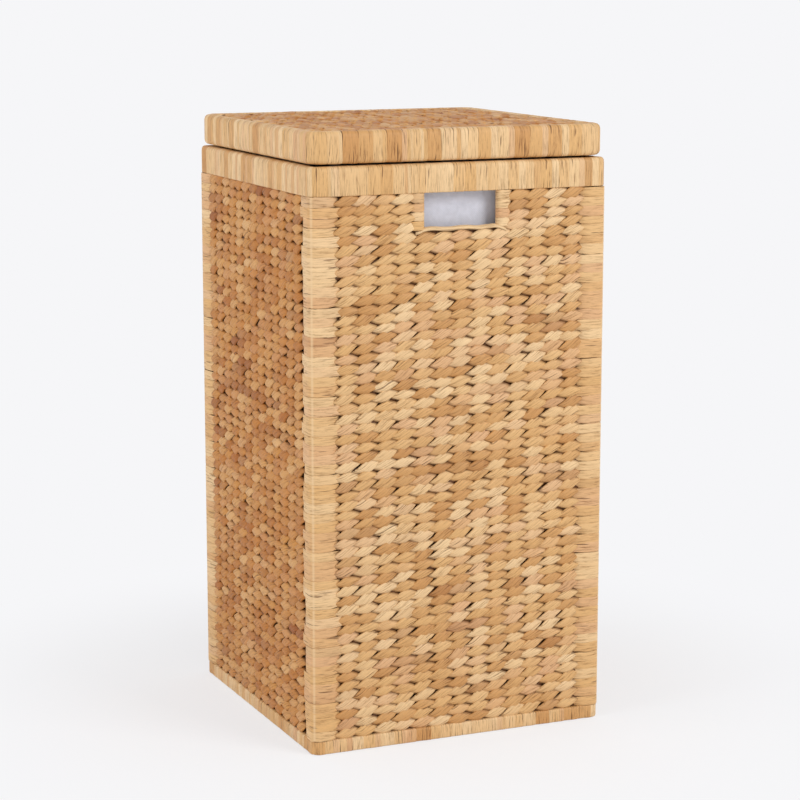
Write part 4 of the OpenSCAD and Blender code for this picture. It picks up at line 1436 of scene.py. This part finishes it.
class HAMPER_OT_stage(bpy.types.Operator):
    """Set up the camera, the lamps, the floor and the background"""
    bl_idname = "hamper.stage"
    bl_label = "Stage"

    def execute(self, context):
        stage = context.scene.hamper_stage
        scene = context.scene
        scene.view_settings.view_transform = "Standard"
        middle = Vector((0, 0.004, 0.330))
        level = cos(stage.elevation)
        back = Vector((sin(stage.azimuth) * level, -cos(stage.azimuth) * level, sin(stage.elevation)))
        camera_data = bpy.data.cameras.new("camera")
        camera_data.lens = stage.lens
        camera_data.sensor_width = 36
        camera = in_scene("camera", camera_data)
        camera.location = middle + back * stage.distance
        camera.rotation_euler = (-back).to_track_quat("-Z", "Y").to_euler()
        scene.camera = camera
        floor_mesh = bpy.data.meshes.new("floor")
        reach = 12.0
        floor_mesh.from_pydata([(-reach, -reach, 0), (reach, -reach, 0), (reach, reach, 0),
                                (-reach, reach, 0)], [], [(0, 1, 2, 3)])
        floor_mesh.materials.append(backdrop_material(list(stage.backdrop)))
        floor = in_scene("floor", floor_mesh)
        world = bpy.data.worlds.new("studio")
        scene.world = world
        world.use_nodes = True
        tree = world.node_tree
        tree.nodes.clear()
        soft = node(tree, "ShaderNodeBackground", {"Color": (1.0, 1.0, 1.0, 1.0), "Strength": 0.62})
        seen = node(tree, "ShaderNodeBackground", {"Color": [*stage.backdrop, 1.0], "Strength": 1.0})
        mixed = node(tree, "ShaderNodeMixShader", {0: seen_share(tree), 1: soft, 2: seen})
        node(tree, "ShaderNodeOutputWorld", {"Surface": mixed})
        aim = (0, 0, 0.3)
        lamp("key", (2.3, 1.3, 1.9), aim, (1.4, 1.4), 40, "#FFFFFF")
        lamp("fill", (0.3, -2.6, 1.5), aim, (1.6, 1.6), 27, "#FFFFFF")
        return {"FINISHED"}


OPERATORS = (HAMPER_OT_stage, HAMPER_OT_finishes, HAMPER_OT_walls, HAMPER_OT_panels, HAMPER_OT_corners,
             HAMPER_OT_slots, HAMPER_OT_bands, HAMPER_OT_hinges, HAMPER_OT_liner)


class HAMPER_PT_panel(bpy.types.Panel):
    """Lists the hamper's pieces in the sidebar"""
    bl_idname = "HAMPER_PT_panel"
    bl_label = "Woven hamper"
    bl_space_type = "VIEW_3D"
    bl_region_type = "UI"
    bl_category = "Hamper"

    def draw(self, context):
        for operator in OPERATORS:
            self.layout.operator(operator.bl_idname)
        for group in GROUPS:
            box = self.layout.box()
            for field in GROUPS[group].__annotations__:
                box.prop(getattr(context.scene, group), field)


def register():
    for name, group in GROUPS.items():
        bpy.utils.register_class(group)
        setattr(bpy.types.Scene, name, bpy.props.PointerProperty(type=group))
    for operator in OPERATORS:
        bpy.utils.register_class(operator)
    bpy.utils.register_class(HAMPER_PT_panel)


def unregister():
    bpy.utils.unregister_class(HAMPER_PT_panel)
    for operator in reversed(OPERATORS):
        bpy.utils.unregister_class(operator)
    for name, group in GROUPS.items():
        delattr(bpy.types.Scene, name)
        bpy.utils.unregister_class(group)


def main():
    register()
    bpy.ops.hamper.stage()
    bpy.ops.hamper.finishes()
    bpy.ops.hamper.walls()
    bpy.ops.hamper.panels()
    bpy.ops.hamper.corners()
    bpy.ops.hamper.slots()
    bpy.ops.hamper.bands()
    bpy.ops.hamper.hinges()
    bpy.ops.hamper.liner()


if __name__ == "__main__":
    main()
